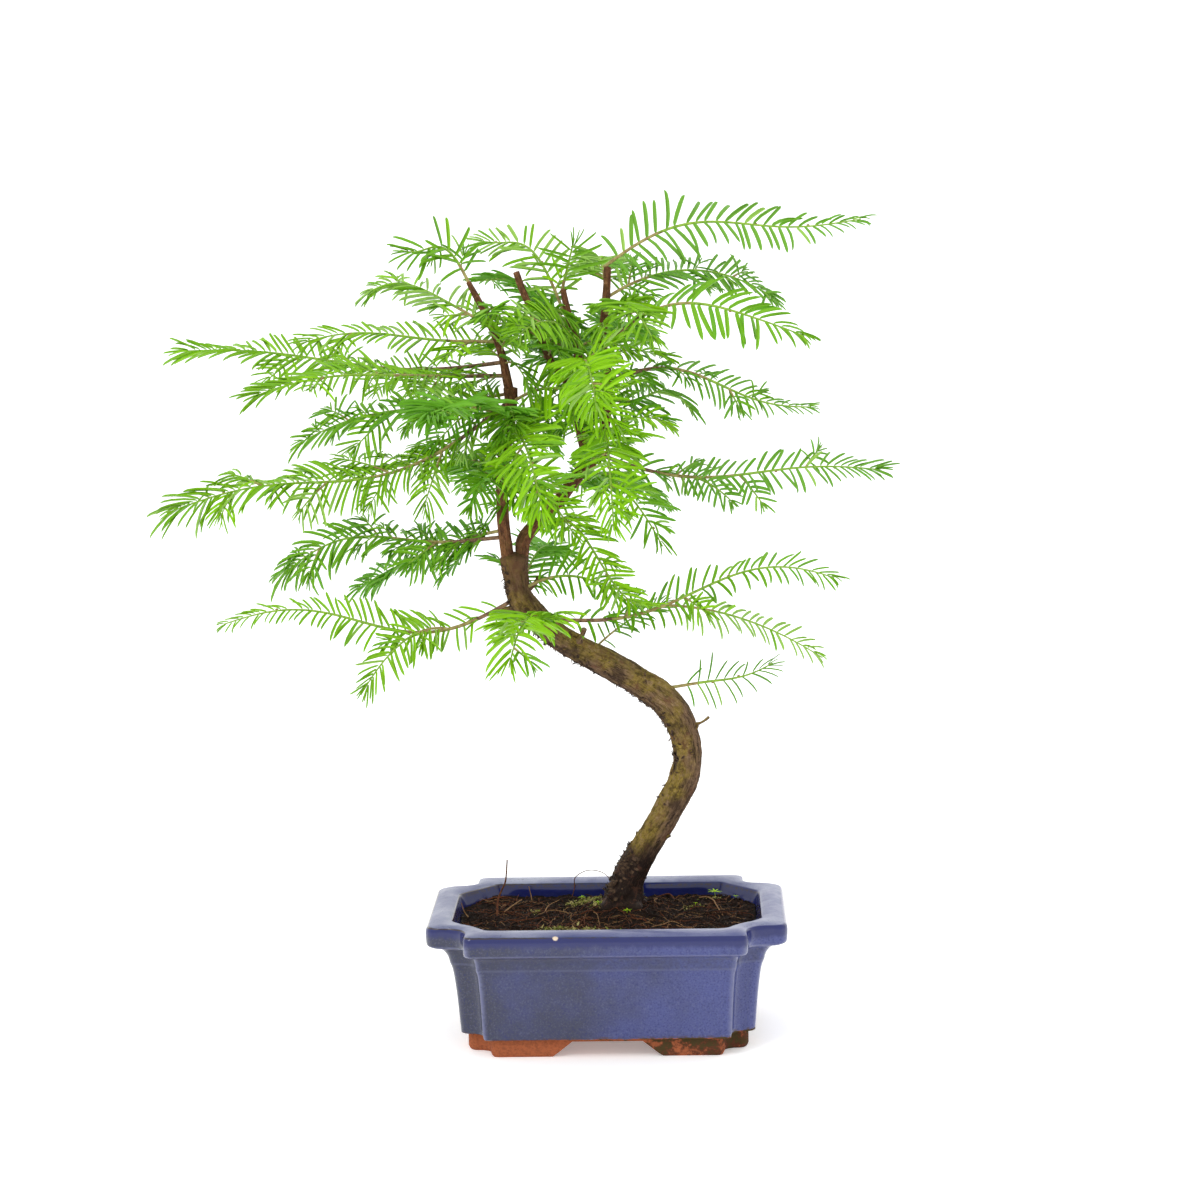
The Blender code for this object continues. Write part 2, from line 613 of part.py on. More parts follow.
class Spaces:
    """Which mass a place belongs to: the one whose own shoots are nearest, clear of every limb."""

    def __init__(self, lines_by_mass):
        self.lines = {}
        for name, lines in lines_by_mass.items():
            self.lines[name] = np.vstack([line.places for line in lines])
        self.limbs = np.vstack([smooth_line(points, 2.0) for points in LIMBS.values()])

    def own(self, name, places):
        places = np.array([tuple(place) for place in places])[:, None]
        nearest = {}
        for other, line in self.lines.items():
            nearest[other] = np.linalg.norm(places - line, axis=2).min(axis=1)
        others = np.min([nearest[other] for other in nearest if other != name], axis=0)
        wood = np.linalg.norm(places - self.limbs[:, :3], axis=2) - self.limbs[:, 3]
        return (nearest[name] + SPACE_MARGIN < others) & (wood.min(axis=1) > LIMB_MARGIN)

    def inside_length(self, name, line):
        """How far a side shoot runs before it leaves its mass's space."""
        inside = self.own(name, line.places)
        for i in range(2, len(inside)):
            if not inside[i]:
                return float(line.lengths[i - 1])
        return line.length


def blade_place(line, distance, across):
    place, _, side, _ = line.at(distance)
    return place + side * across - Vector((0, 0, NEEDLE_DROOP * abs(across)))


def tooth_place(line, name, spaces, base, pitch, share, needle, turn):
    """Distance and reach of a tooth's point, shortened until it lies in its mass's space, or None."""
    lean = math.radians(NEEDLE_LEAN[0] - NEEDLE_LEAN[1] * share)
    swell = math.sin(math.pi * min(1.0, share * NEEDLE_PEAK))
    size = needle * (NEEDLE_LEAST + (1 - NEEDLE_LEAST) * swell)
    middle = base + pitch / 2
    for scale in TRIES:
        out, ahead = size * scale * math.sin(lean), size * scale * math.cos(lean)
        probes = [blade_place(line, base + pitch * part, turn * 2.0) for part in (0.2, 0.9)]
        for part in (0.35, 0.6, 0.8, 1.0):
            probes.append(blade_place(line, middle + ahead * part, turn * out * part))
        if spaces.own(name, probes).all():
            return middle + ahead, turn * out
    return None


def toothed_blade(line, name, spaces, stretch, needle, spine_half, taken=()):
    """A spray as one solid blade: a tapering spine with a tooth to each side at every pitch.

    It is drawn flat, as distance along the shoot and reach across it, and then laid along the shoot.
    """
    first, last = stretch
    count = max(1, math.ceil((last - first) / TOOTH_PITCH - 0.4))
    pitch = (last - first) / count
    steps = int(first / (2 * TOOTH_PITCH)) + 1
    places = [(first * i / steps, spine_half) for i in range(steps)]
    for i in range(count + 1):
        places.append((first + i * pitch, spine_half * (1 - SPINE_TAPER * i / count)))

    shape = bmesh.new()
    left, right = (
        [shape.verts.new((place, turn * half, -1)) for place, half in places] for turn in (1, -1)
    )
    for i in range(len(places) - 1):
        shape.faces.new((right[i], right[i + 1], left[i + 1], left[i]))
    for i in range(count):
        for turn in (1, -1):
            base, share = first + i * pitch, (i + 0.5) / count
            if any(turn == other and -3 < base - place < 12 for place, other in taken):
                continue
            found = tooth_place(line, name, spaces, base, pitch, share, needle, turn)
            if found:
                point, at = shape.verts.new((*found, -1)), steps + i
                near, far = (right[at], right[at + 1]) if turn < 0 else (left[at + 1], left[at])
                shape.faces.new((near, point, far))
    reach = last + needle * TIP_NEEDLE
    if not spaces.own(name, [line.at(reach)[0]]).all():
        reach = last + 1.5
    shape.faces.new((right[-1], shape.verts.new((reach, 0.0, -1)), left[-1]))

    upper = bmesh.ops.extrude_face_region(shape, geom=shape.faces[:], use_keep_orig=True)["geom"]
    raised = [vert for vert in upper if isinstance(vert, bmesh.types.BMVert)]
    bmesh.ops.translate(shape, verts=raised, vec=(0, 0, 2))
    bmesh.ops.triangulate(shape, faces=[face for face in shape.faces if len(face.verts) > 3])
    for vert in shape.verts:
        distance, across, level = vert.co
        out = min(1.0, abs(across) / FLESH_REACH)
        thick = spine_half * SPINE_FLATNESS * (1 - out) + NEEDLE_HALF_THICKNESS * out
        normal = line.at(distance)[3]
        vert.co = (blade_place(line, distance, across) + normal * thick * level) * MM
    mesh = bpy.data.meshes.new("spray")
    shape.to_mesh(mesh)
    shape.free()
    return helper("blade", mesh)


def bough_mesh(shoot, line):
    rows = []
    for i in range(BOUGH_ROWS):
        share = i / (BOUGH_ROWS - 1)
        radius = BOUGH_RADIUS + (BOUGH_TIP_RADIUS - BOUGH_RADIUS) * share
        rows.append((*line.at(share * shoot.bough)[0], radius))
    return tube_mesh(rows, 6)


def mass_mesh(shoot, seed, lines, spaces):
    """One shoot's foliage: the blade along its line with those of its forks and side shoots fused on."""
    name, needle = shoot.name, shoot.needle
    line, *forks = lines
    began = shoot.bough + GAP if shoot.bough else 0.0
    rest = [Vector(p) for p, s in zip(line.places, line.lengths) if s > began + 1]
    leafy = Axis([line.at(began)[0], *rest], line.normal)
    sides = side_axes(shoot, seed, line)
    blades = []
    for fork in forks:
        stretch = (FORK_FIRST, fork.length - 3)
        size = needle * FORK_NEEDLE
        blades.append(toothed_blade(fork, name, spaces, stretch, size, FORK_SPINE_HALF))
    for side, _, _ in sides:
        length = spaces.inside_length(name, side)
        size = needle * SIDE_NEEDLE
        if length > SIDE_LEAST:
            stretch = (SIDE_FIRST, length)
            blades.append(toothed_blade(side, name, spaces, stretch, size, SIDE_SPINE_HALF))
    taken = [(distance - began, turn) for _, distance, turn in sides]
    stretch = (MAIN_FIRST, leafy.length - 2)
    main = toothed_blade(leafy, name, spaces, stretch, needle, SPINE_HALF, taken)
    if blades:
        return largest_shell(combined("mass", main, blades, "UNION", "MANIFOLD"))
    mesh = evaluated_mesh(main)
    bpy.data.objects.remove(main)
    return mesh, True


def make_foliage():
    wood = material("bough_bark", STEM_BROWN, 0.8)
    green = material("needles", LEAF_GREEN, 0.6)
    lines_by_mass = {shoot.name: main_axes(shoot) for shoot in SHOOTS}
    spaces = Spaces(lines_by_mass)
    for number, shoot in enumerate(SHOOTS):
        lines = lines_by_mass[shoot.name]
        if shoot.bough:
            keep("bough_" + shoot.name, bough_mesh(shoot, lines[0]), wood)
        for turn in range(MOST_TURNS):
            mesh, closed = mass_mesh(shoot, 1000 * turn + number, lines, spaces)
            if closed:
                break
        keep("foliage_" + shoot.name, mesh, green)


make_pot()
make_soil()
make_limbs()
make_foliage()
bpy.data.collections.remove(helpers)
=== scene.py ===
"""The looks of a dawn redwood bonsai in a blue glazed pot, dressed over its solids.

Sizes are millimetres, and places are measured from the middle of the pot at the level it stands on:
X to the right, Y away, Z up. They turn to metres when a mesh is stored.
"""

import json
import math
import random
from collections import namedtuple

import bmesh
import bpy
import numpy as np
from mathutils import Matrix, Vector, kdtree, noise

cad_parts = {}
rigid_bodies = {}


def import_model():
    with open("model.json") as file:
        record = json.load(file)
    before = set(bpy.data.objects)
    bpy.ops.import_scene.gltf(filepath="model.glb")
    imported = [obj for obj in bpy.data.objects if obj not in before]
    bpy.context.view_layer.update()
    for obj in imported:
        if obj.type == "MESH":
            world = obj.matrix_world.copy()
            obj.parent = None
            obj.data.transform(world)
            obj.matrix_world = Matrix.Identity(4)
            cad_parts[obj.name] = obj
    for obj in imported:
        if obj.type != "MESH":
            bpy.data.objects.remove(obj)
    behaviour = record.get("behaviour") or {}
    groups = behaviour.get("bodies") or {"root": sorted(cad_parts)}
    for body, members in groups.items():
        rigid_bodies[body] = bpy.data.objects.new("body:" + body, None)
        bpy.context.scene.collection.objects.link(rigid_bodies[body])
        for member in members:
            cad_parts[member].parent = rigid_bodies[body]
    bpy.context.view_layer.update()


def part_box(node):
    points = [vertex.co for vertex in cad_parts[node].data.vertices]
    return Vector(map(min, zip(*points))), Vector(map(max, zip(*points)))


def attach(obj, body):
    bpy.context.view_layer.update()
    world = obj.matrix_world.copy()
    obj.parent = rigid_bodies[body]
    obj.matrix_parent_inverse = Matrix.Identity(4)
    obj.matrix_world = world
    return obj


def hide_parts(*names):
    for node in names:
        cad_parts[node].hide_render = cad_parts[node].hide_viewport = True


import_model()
stage = bpy.context.scene.collection

# The pot is pressed stoneware with notched corners, dipped in a speckled violet-blue glaze that runs
# deep on the lip and breaks to grey along every edge. Its foot is bare red clay, cut by low arches for
# drainage, and a chip shows pale clay on the front of the lip.
MM = 0.001
pot_low, pot_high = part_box("pot")
POT_MIDDLE = Vector(((pot_low.x + pot_high.x) / 2, (pot_low.y + pot_high.y) / 2, 0))
RIM_HEIGHT = 62.0
RIM_SIZES = np.array([170.0, 126.0, 132.0, 86.0])  # length, width, long panel, short panel
FOOT_SIZES = np.array([139.0, 105.0, 116.0, 80.0])
# Height of each level of the outside, how far it has drawn in from rim to foot, and a small swell.
POT_LEVELS = [
    (9.0, 1.0, -0.5), (9.3, 1.0, 0.0), (12.0, 0.987, 0.0), (17.0, 0.958, 0.0), (22.0, 0.932, 0.0),
    (27.0, 0.902, 0.0), (31.0, 0.872, 0.0), (35.0, 0.838, 0.0), (38.0, 0.808, 0.0), (40.0, 0.782, 0.0),
    (41.5, 0.760, 0.1), (42.5, 0.742, 0.35), (43.5, 0.722, 0.4), (45.0, 0.688, 0.2), (46.5, 0.640, 0.0),
    (48.0, 0.575, 0.0), (49.3, 0.490, 0.0), (50.2, 0.390, 0.0), (50.7, 0.270, 0.0), (50.9, 0.130, 0.0),
    (51.3, 0.060, 0.0), (52.0, 0.015, 0.0), (53.2, 0.0, 0.0), (55.5, 0.0, 0.15), (57.5, 0.0, 0.2),
    (59.2, 0.0, 0.05), (59.9, 0.018, 0.0), (60.5, 0.050, 0.0), (60.9, 0.095, 0.0), (61.15, 0.150, 0.0),
]
RIM_CROWN = ((0.12, 0.4), (0.25, 0.12), (0.4, 0.0), (0.6, 0.12), (0.8, 0.5))  # share of its width, drop
LIP_ROLL = ((1.3, 0.95), (0.6, 1.2), (0.2, 1.6), (0.0, 2.2))  # how far out of the opening, drop
# The hollow's half length and half width, and how far its corners are cut back, at top and floor.
CAVITY_TOP, CAVITY_FLOOR, CAVITY_FLOOR_HEIGHT = (73.0, 48.0, 18.0, 20.0), (62.0, 45.0, 18.0, 20.0), 14.0
CORNER_POWER, WALL_LEVELS = 90, (0.12, 0.3, 1.0)  # how sharp its eased corners are; shares of its depth
FOOT_INSET, FOOT_TOP = 3.2, 9.0
FOOT_LEVELS = ((0.0, 2.0), (0.8, 0.9), (2.0, 0.0), (FOOT_TOP, 0.0))  # height, how much narrower
ARCH_HEIGHT, ARCH_SLOPE, ARCH_LONG, ARCH_SHORT = 7.5, 9.5, 26.0, 20.0
RECESS, CUT_BELOW = (104.0, 76.0, 8.2), 3.0
# Radii of the wing, notch and panel corners at the rim. They shrink with the notch towards the foot.
CORNER_ROUNDS, FOOT_EASE, ARC_STEPS = {"wing": 6.0, "notch": 10.0, "panel": 3.6}, 0.17, 8
# The raised line down each panel's edge, and where it starts and ends.
BEAD_HEIGHT, BEAD_WIDTH, GROOVE_DEPTH, BEAD_FOOT, BEAD_TOP = 0.75, 1.5, 0.35, 9.0, 49.5
NO_BEAD = 99.0  # a distance from the panel's edge at which it is gone
NEAR_CORNER = (0.7, 1.4, 2.1, 2.9, 3.8, 5.0, 6.6, 9.0)  # where points stand close, from each corner
OPEN_STRIDE = 8.0


def placed(places):
    """Millimetre places from the middle of the pot, as metres in the frame."""
    return np.array(places, float) * MM + np.array(POT_MIDDLE)


def mesh_of(name, places, faces, edges=()):
    mesh = bpy.data.meshes.new(name)
    mesh.from_pydata(placed(places).tolist(), list(edges), faces)
    mesh.update()
    return mesh


def wrapped(rows, around, start=0):
    """Faces that join rows of points, each row closed on itself."""
    faces = []
    for low in range(start, start + rows * around, around):
        for i in range(around):
            j = (i + 1) % around
            faces.append((low + i, low + j, low + around + j, low + around + i))
    return faces


def linked(name, data, group=stage):
    made = bpy.data.objects.new(name, data)
    group.objects.link(made)
    return made


def settled(carrier, name):
    """The plain mesh that an object's modifier makes. The object itself goes."""
    bpy.context.view_layer.update()
    graph = bpy.context.evaluated_depsgraph_get()
    mesh = bpy.data.meshes.new_from_object(carrier.evaluated_get(graph))
    mesh.name = name
    bpy.data.objects.remove(carrier)
    return mesh


def clear_group(group):
    """Removes a collection and what is in it."""
    for used in list(group.objects):
        bpy.data.objects.remove(used)
    bpy.data.collections.remove(group)


def mark(mesh, name, values, kind="FLOAT"):
    """Stores one value a point for the finish to read."""
    field = "vector" if kind == "FLOAT_VECTOR" else "value"
    layer = mesh.attributes.new(name, kind, "POINT")
    layer.data.foreach_set(field, np.array(values, int if kind == "INT" else float).ravel())


def piece_of(name, mesh, finishes, smooth=True):
    """The mesh as a piece that rides with the pot and the plant."""
    piece = linked(name, mesh)
    mesh.materials.clear()
    for finish in finishes:
        mesh.materials.append(finish.material)
    if smooth:
        mesh.shade_smooth()
    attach(piece, "root")
    return piece


class Value:
    """A socket of a node tree. Using it in an expression adds the maths nodes for that expression."""

    def __init__(self, owner, socket):
        self.owner, self.socket = owner, socket

    def maths(self, operation, first, second=0.0):
        return self.owner.node("ShaderNodeMath", {"operation": operation}, {0: first, 1: second})

    def __add__(self, other):
        return self.maths("ADD", self, other)

    def __sub__(self, other):
        return self.maths("SUBTRACT", self, other)

    def __rsub__(self, other):
        return self.maths("SUBTRACT", other, self)

    def __mul__(self, other):
        return self.maths("MULTIPLY", self, other)

    def __abs__(self):
        return self.maths("ABSOLUTE", self)

    __radd__, __rmul__ = __add__, __mul__

    def ramp(self, low, high):
        """0 below low, 1 above high and a smooth rise between; high may be the lower of the two."""
        settings = {"interpolation_type": "SMOOTHSTEP"}
        if high < low:
            return 1 - self.ramp(high, low)
        return self.owner.node("ShaderNodeMapRange", settings, {0: self, 1: low, 2: high})


class Nodes:
    """A node tree that takes its nodes one by one."""

    def node(self, kind, settings, sockets, output=0):
        """Adds a node: its settings first, then the values or links of its sockets."""
        made = self.tree.nodes.new(kind)
        for name, value in settings.items():
            setattr(made, name, value)
        for key, value in sockets.items():
            self.feed(made.inputs[key], value)
        return Value(self, made.outputs[output])

    def feed(self, socket, value):
        if isinstance(value, Value):
            self.tree.links.new(value.socket, socket)
        else:
            socket.default_value = value


class Finish(Nodes):
    """A named material. Its patterns are written as expressions on the values that it gives."""

    def __init__(self, name, **fixed):
        self.material = bpy.data.materials.new(name)
        self.material.use_nodes = True
        self.tree = self.material.node_tree
        self.shader = self.tree.nodes["Principled BSDF"]
        for name, value in fixed.items():
            socket = self.shader.inputs[name.replace("_", " ").title().replace("Ior", "IOR")]
            socket.default_value = (*value, 1) if name.endswith("color") else value

    def place(self, scale=(1, 1, 1)):
        """The place on the object in millimetres from the middle of the pot, stretched by the scale."""
        found = self.node("ShaderNodeTexCoord", {}, {}, "Object")
        middle = tuple(-POT_MIDDLE[i] / MM * scale[i] for i in range(3))
        sizes = tuple(scale[i] / MM for i in range(3))
        return self.node("ShaderNodeMapping", {}, {"Vector": found, "Location": middle, "Scale": sizes})

    def part(self, vector, index):
        return self.node("ShaderNodeSeparateXYZ", {}, {0: vector}, index)

    def attribute(self, name, output="Fac"):
        return self.node("ShaderNodeAttribute", {"attribute_name": name}, {}, output)

    def noise(self, vector, scale, detail=3.0, roughness=0.5):
        sockets = {"Vector": vector, "Scale": scale, "Detail": detail, "Roughness": roughness}
        return self.node("ShaderNodeTexNoise", {}, sockets)

    def mix(self, share, first, second):
        """A colour between two, each a colour or a value that carries one."""
        first, second = (c if isinstance(c, Value) else (*c, 1.0) for c in (first, second))
        sockets = {0: share, 6: first, 7: second}
        return self.node("ShaderNodeMix", {"data_type": "RGBA"}, sockets, 2)

    def bump(self, height, distance, strength=1.0, under=None):
        """Relief of a height from 0 to 1, over a distance in millimetres."""
        sockets = {"Height": height, "Distance": distance * MM, "Strength": strength}
        if under:
            sockets["Normal"] = under
        return self.node("ShaderNodeBump", {}, sockets)

    def mottled(self, tones, scale, detail, span, roughness=0.5):
        """Wears a noise that runs from one colour to another over a span, and gives the noise back."""
        cloud = self.noise(self.place(), scale, detail, roughness)
        self.wear(base_color=self.mix(cloud.ramp(*span), *tones))
        return cloud

    def wear(self, **sockets):
        """Feeds the shader with what changes over the surface."""
        for name, value in sockets.items():
            self.feed(self.shader.inputs[name.replace("_", " ").title()], value)


def darker(colour, share):
    return tuple(part * share for part in colour)


def heading_way(heading, lift=0.0):
    """A direction along a heading in radians, anticlockwise from +X."""
    return Vector((math.cos(heading), math.sin(heading), lift))


def straight_stops(length):
    """Shares of a straight face where its points stand, close together by its corners."""
    near = [d for d in NEAR_CORNER if d < length / 2 - 0.5]
    inner = length - 2 * near[-1]
    between = max(1, round(inner / OPEN_STRIDE))
    stops = near + [near[-1] + inner * i / between for i in range(1, between)]
    stops += [length - d for d in reversed(near)]
    return [stop / length for stop in stops]


def notched_ring(sizes, swell=0.0, bead=0.0):
    """Points round a rectangle whose corners are cut back in a notch, counter-clockwise.

    With each point comes its distance along the outline from the nearest corner of a long panel.
    """
    far, wide, near, low = (sizes / 2).tolist()
    quarter = [(far, low, "wing"), (near, low, "notch"), (near, wide, "panel")]
    mirrored = [(-x, y, kind) for x, y, kind in reversed(quarter)]
    corners = quarter + mirrored + [(-x, -y, kind) for x, y, kind in quarter + mirrored]
    shrunk = (far - near) / (RIM_SIZES[0] - RIM_SIZES[2]) * 2
    shrunk *= 1 + FOOT_EASE * min(1.0, (RIM_SIZES[0] / 2 - far) / (RIM_SIZES[0] - FOOT_SIZES[0]) * 2)
    points, away = [], []
    for index, (x, y, kind) in enumerate(corners):
        before, after = (Vector(corners[(index + step) % 12][:2]) for step in (-1, 1))
        next_kind = corners[(index + 1) % 12][2]
        corner, rounding = Vector((x, y)), CORNER_ROUNDS[kind] * shrunk
        into, onward = (corner - before).normalized(), (after - corner).normalized()
        middle = corner - into * rounding + onward * rounding
        half, bend = rounding * math.pi / 4, -1 if kind == "notch" else 1
        for step in range(ARC_STEPS):
            share = step / (ARC_STEPS - 1)
            angle = share * math.pi / 2
            arm = (-onward * math.cos(angle) + into * math.sin(angle)) * bend
            reach = abs(share - 0.5) * 2 * half if kind == "panel" else NO_BEAD
            points.append(middle + arm * (rounding * bend + swell + bead_profile(reach) * bead))
            away.append(reach)
        next_round = CORNER_ROUNDS[next_kind] * shrunk
        start, end = corner + onward * rounding, after - onward * next_round
        outward = Vector((onward.y, -onward.x))
        for share in straight_stops(STRAIGHTS[index]):
            place = start.lerp(end, share)
            reach = (place - start).length + half if kind == "panel" else NO_BEAD
            if next_kind == "panel":
                reach = min(reach, (end - place).length + next_round * math.pi / 4)
            points.append(place + outward * (swell + bead_profile(reach) * bead))
            away.append(reach)
    return points, away


def bead_profile(reach):
    """Height of the raised edge and the groove beside it, at a distance from the corner."""
    groove = math.exp(-(((reach - BEAD_WIDTH * 2.3) / BEAD_WIDTH) ** 2))
    return BEAD_HEIGHT * math.exp(-((reach / BEAD_WIDTH) ** 2)) - GROOVE_DEPTH * groove


def straight_lengths():
    """Lengths of the twelve straight faces at the rim, which set how many points each has."""
    far, wide, near, low = (RIM_SIZES / 2).tolist()
    wing, notch, panel = CORNER_ROUNDS.values()
    steps = [far - near - wing - notch, wide - low - notch - panel]
    return (steps + [2 * (near - panel)] + steps[::-1] + [2 * (low - wing)]) * 2


STRAIGHTS = straight_lengths()


def cut_corner_ring(sizes, directions):
    """Where rays from the middle meet a rectangle with its corners cut off, its corners eased."""
    length, width, along, across = sizes
    slant = Vector((across, along)).normalized()
    reach = slant.x * length + slant.y * (width - across)
    sides = [((1, 0), length), ((0, 1), width), ((slant.x, slant.y), reach)]
    ring = []
    for way in directions:
        parts = [max(0.0, abs(way.x) * n[0] + abs(way.y) * n[1]) / c for n, c in sides]
        ring.append(way * sum(part**CORNER_POWER for part in parts) ** (-1 / CORNER_POWER))
    return ring


def pot_rings():
    """Each level's height and ring: up the outside, over the rim and down the inside to the floor.

    After them, the distance of each of a ring's points from the nearest edge of a panel.
    """
    bare = FOOT_SIZES - 2 * FOOT_INSET
    rings = [(height, notched_ring(bare - less)[0]) for height, less in FOOT_LEVELS]
    for height, drawn, swell in POT_LEVELS:
        bead = min(1.0, max(0.0, (height - BEAD_FOOT) / 2), max(0.0, (BEAD_TOP - height) / 3))
        ring, away = notched_ring(RIM_SIZES + (FOOT_SIZES - RIM_SIZES) * drawn, swell, bead)
        rings.append((height, ring))
    outer = rings[-1][1]
    ways = [point.normalized() for point in outer]
    opening, floor = (cut_corner_ring(sizes, ways) for sizes in (CAVITY_TOP, CAVITY_FLOOR))
    for share, drop in RIM_CROWN:
        rings.append((RIM_HEIGHT - drop, [a.lerp(b, share) for a, b in zip(outer, opening)]))
    for back, drop in LIP_ROLL:
        rings.append((RIM_HEIGHT - drop, [p + way * back for p, way in zip(opening, ways)]))
    for share in WALL_LEVELS:
        height = RIM_HEIGHT + (CAVITY_FLOOR_HEIGHT - RIM_HEIGHT) * share
        rings.append((height, [a.lerp(b, share) for a, b in zip(opening, floor)]))
    return rings, away


def cutter_shapes():
    """Corners of what is cut away below: two arches that cross, and the recess between the feet."""
    spread, (length, width, height) = ARCH_SLOPE * CUT_BELOW / ARCH_HEIGHT, RECESS
    # Half width at the bottom and at the top, height, and half length.
    sections = [
        (ARCH_LONG + spread, ARCH_LONG - ARCH_SLOPE, ARCH_HEIGHT, 80.0),
        (ARCH_SHORT + spread, ARCH_SHORT - ARCH_SLOPE, ARCH_HEIGHT, 90.0),
        (length / 2, length / 2, height, width / 2),
    ]
    shapes = []
    for low, top, high, reach in sections:
        side = [(-low, -CUT_BELOW), (low, -CUT_BELOW), (top, high), (-top, high)]
        shapes.append([(x, y, z) for y in (-reach, reach) for x, z in side])
    shapes[1] = [(-y, x, z) for x, y, z in shapes[1]]
    return shapes


def pot_mesh():
    """The thrown block with its arches and recess cut out, marked for the glaze."""
    rings, away = pot_rings()
    count = len(away)
    places = [(point.x, point.y, height) for height, ring in rings for point in ring]
    faces = [tuple(reversed(range(count)))] + wrapped(len(rings) - 1, count)
    faces.append(tuple((len(rings) - 1) * count + i for i in range(count)))
    block = linked("pot_block", mesh_of("pot_block", places, faces))
    cutters = bpy.data.collections.new("pot_cutters")
    stage.children.link(cutters)
    box_faces = [(0, 1, 2, 3), (7, 6, 5, 4), (0, 4, 5, 1), (1, 5, 6, 2), (2, 6, 7, 3), (3, 7, 4, 0)]
    for number, corners in enumerate(cutter_shapes()):
        linked(f"cut{number}", mesh_of("cut", corners, box_faces), cutters)
    carve = block.modifiers.new("carve", "BOOLEAN")
    carve.operation, carve.operand_type, carve.collection = "DIFFERENCE", "COLLECTION", cutters
    mesh = settled(block, "glazed_pot")
    clear_group(cutters)

    tree = kdtree.KDTree(len(places))
    for index, place in enumerate(placed(places)):
        tree.insert(place, index)
    tree.balance()
    thin, inside = [], []
    for vert in mesh.vertices:
        row, column = divmod(tree.find(vert.co)[1], count)
        thin.append(math.exp(-((away[column] / BEAD_WIDTH) ** 2)))
        inside.append(float(row >= len(rings) - 4 and rings[row][0] < RIM_HEIGHT - LIP_ROLL[1][1]))
    mark(mesh, "thin_glaze", thin)
    mark(mesh, "inside", inside)
    return mesh


VIOLET, SLATE, COBALT = (0.040, 0.052, 0.200), (0.022, 0.025, 0.058), (0.004, 0.009, 0.100)
PALE_GLAZE, GREY_GLAZE, BROWN_EDGE = (0.340, 0.355, 0.470), (0.125, 0.135, 0.260), (0.030, 0.017, 0.012)
RED_CLAY, DARK_CLAY, MOSS_STAIN = (0.360, 0.105, 0.042), (0.060, 0.022, 0.012), (0.050, 0.046, 0.014)
CHIP_PLACE, CHIP_RADIUS, CHIP_COLOUR = (-23.0, -62.6, 60.6), 1.0, (0.74, 0.60, 0.46)
LIP_TOP, LIP_BASE, BAND_HEIGHT, GLAZE_END = 60.4, 51.2, 43.2, 9.2

glaze = Finish("blue_glaze", roughness=0.3, coat_roughness=0.04, specular_ior_level=0.15)
spot = glaze.place()
across, deep, height = (glaze.part(spot, index) for index in range(3))
cloud = glaze.noise(spot, 0.035, 4.0, 0.6)
fleck = glaze.noise(spot, 1.15, 2.0, 0.6)
grain = glaze.noise(spot, 0.42, 3.0, 0.6)
drip = glaze.noise(glaze.place((0.35, 0.35, 0.03)), 1.0, 2.0)
# The glaze runs from slate on the left to violet on the right: partly the glaze's own tone, partly painted
# light and reflection.
body = glaze.mix((cloud * 0.7 + across * 0.0034).ramp(0.12, 0.60), SLATE, VIOLET)
body = glaze.mix(fleck.ramp(0.52, 0.72) * 0.26, body, GREY_GLAZE)
body = glaze.mix(fleck.ramp(0.47, 0.32) * 0.6, body, COBALT)
cavetto = height.ramp(41.8, 43.6) * height.ramp(51.0, 49.5)
body = glaze.mix(cavetto * 0.5 * grain.ramp(0.2, 0.7), body, SLATE)
thin = glaze.attribute("thin_glaze") * height.ramp(60.0, 58.5) * 0.85
seam = abs(height - LIP_BASE).ramp(1.2, 0.2) * 0.6
band = abs(height - BAND_HEIGHT).ramp(0.9, 0.2) * 0.25
body = glaze.mix((thin + seam + band) * grain.ramp(0.15, 0.55), body, GREY_GLAZE)
lip = (height + drip * 3.0 + across * 0.006).ramp(56.0, 58.8) * height.ramp(LIP_TOP + 0.8, LIP_TOP)
body = glaze.mix(lip * 0.95, body, COBALT)
inside = glaze.attribute("inside")
body = glaze.mix(inside * 0.75, body, COBALT)
rim = height.ramp(LIP_TOP + 0.1, LIP_TOP + 0.7) * (1 - inside)
rim_tone = glaze.mix(cloud.ramp(0.3, 0.7), GREY_GLAZE, PALE_GLAZE)
rim_tone = glaze.mix(fleck.ramp(0.60, 0.72) * 0.6, rim_tone, SLATE)
rim_tone = glaze.mix((grain + cloud).ramp(1.22, 1.36) * 0.5, rim_tone, BROWN_EDGE)
body = glaze.mix(rim * 0.88, body, rim_tone)
body = glaze.mix(rim * deep.ramp(-50, -58) * across.ramp(-75, 0) * 0.6, body, VIOLET)
left = (grain - across * 0.006).ramp(0.35, 0.85)
brown = abs(height + drip * 0.5 - LIP_TOP - 0.35).ramp(0.42, 0.12) * left
sill = height.ramp(RIM_HEIGHT - 4.0, RIM_HEIGHT - 2.2) * inside * grain.ramp(0.42, 0.55)
body = glaze.mix((brown + sill * 0.7) * 0.9, body, BROWN_EDGE)
settings, sockets = {"operation": "DISTANCE"}, {0: spot, 1: CHIP_PLACE}
chip_away = glaze.node("ShaderNodeVectorMath", settings, sockets, "Value")
chip = (chip_away + grain * 0.9).ramp(CHIP_RADIUS + 0.9, CHIP_RADIUS + 0.3)
body = glaze.mix(chip, body, CHIP_COLOUR)
clay_grain = glaze.noise(spot, 0.9, 5.0, 0.7)
stain = glaze.noise(spot, 0.13, 5.0, 0.7)
clay = glaze.mix(clay_grain.ramp(0.40, 0.68) * 0.45, RED_CLAY, DARK_CLAY)
clay = glaze.mix((stain + across * 0.0026).ramp(0.54, 0.64) * 0.85, clay, DARK_CLAY)
clay = glaze.mix((stain + height * 0.010 + across * 0.0016).ramp(0.62, 0.70) * 0.7, clay, MOSS_STAIN)
edge = GLAZE_END + (stain - 0.5) * 3.0 + across * 0.009
bare = (height - edge).ramp(0.3, -0.05)
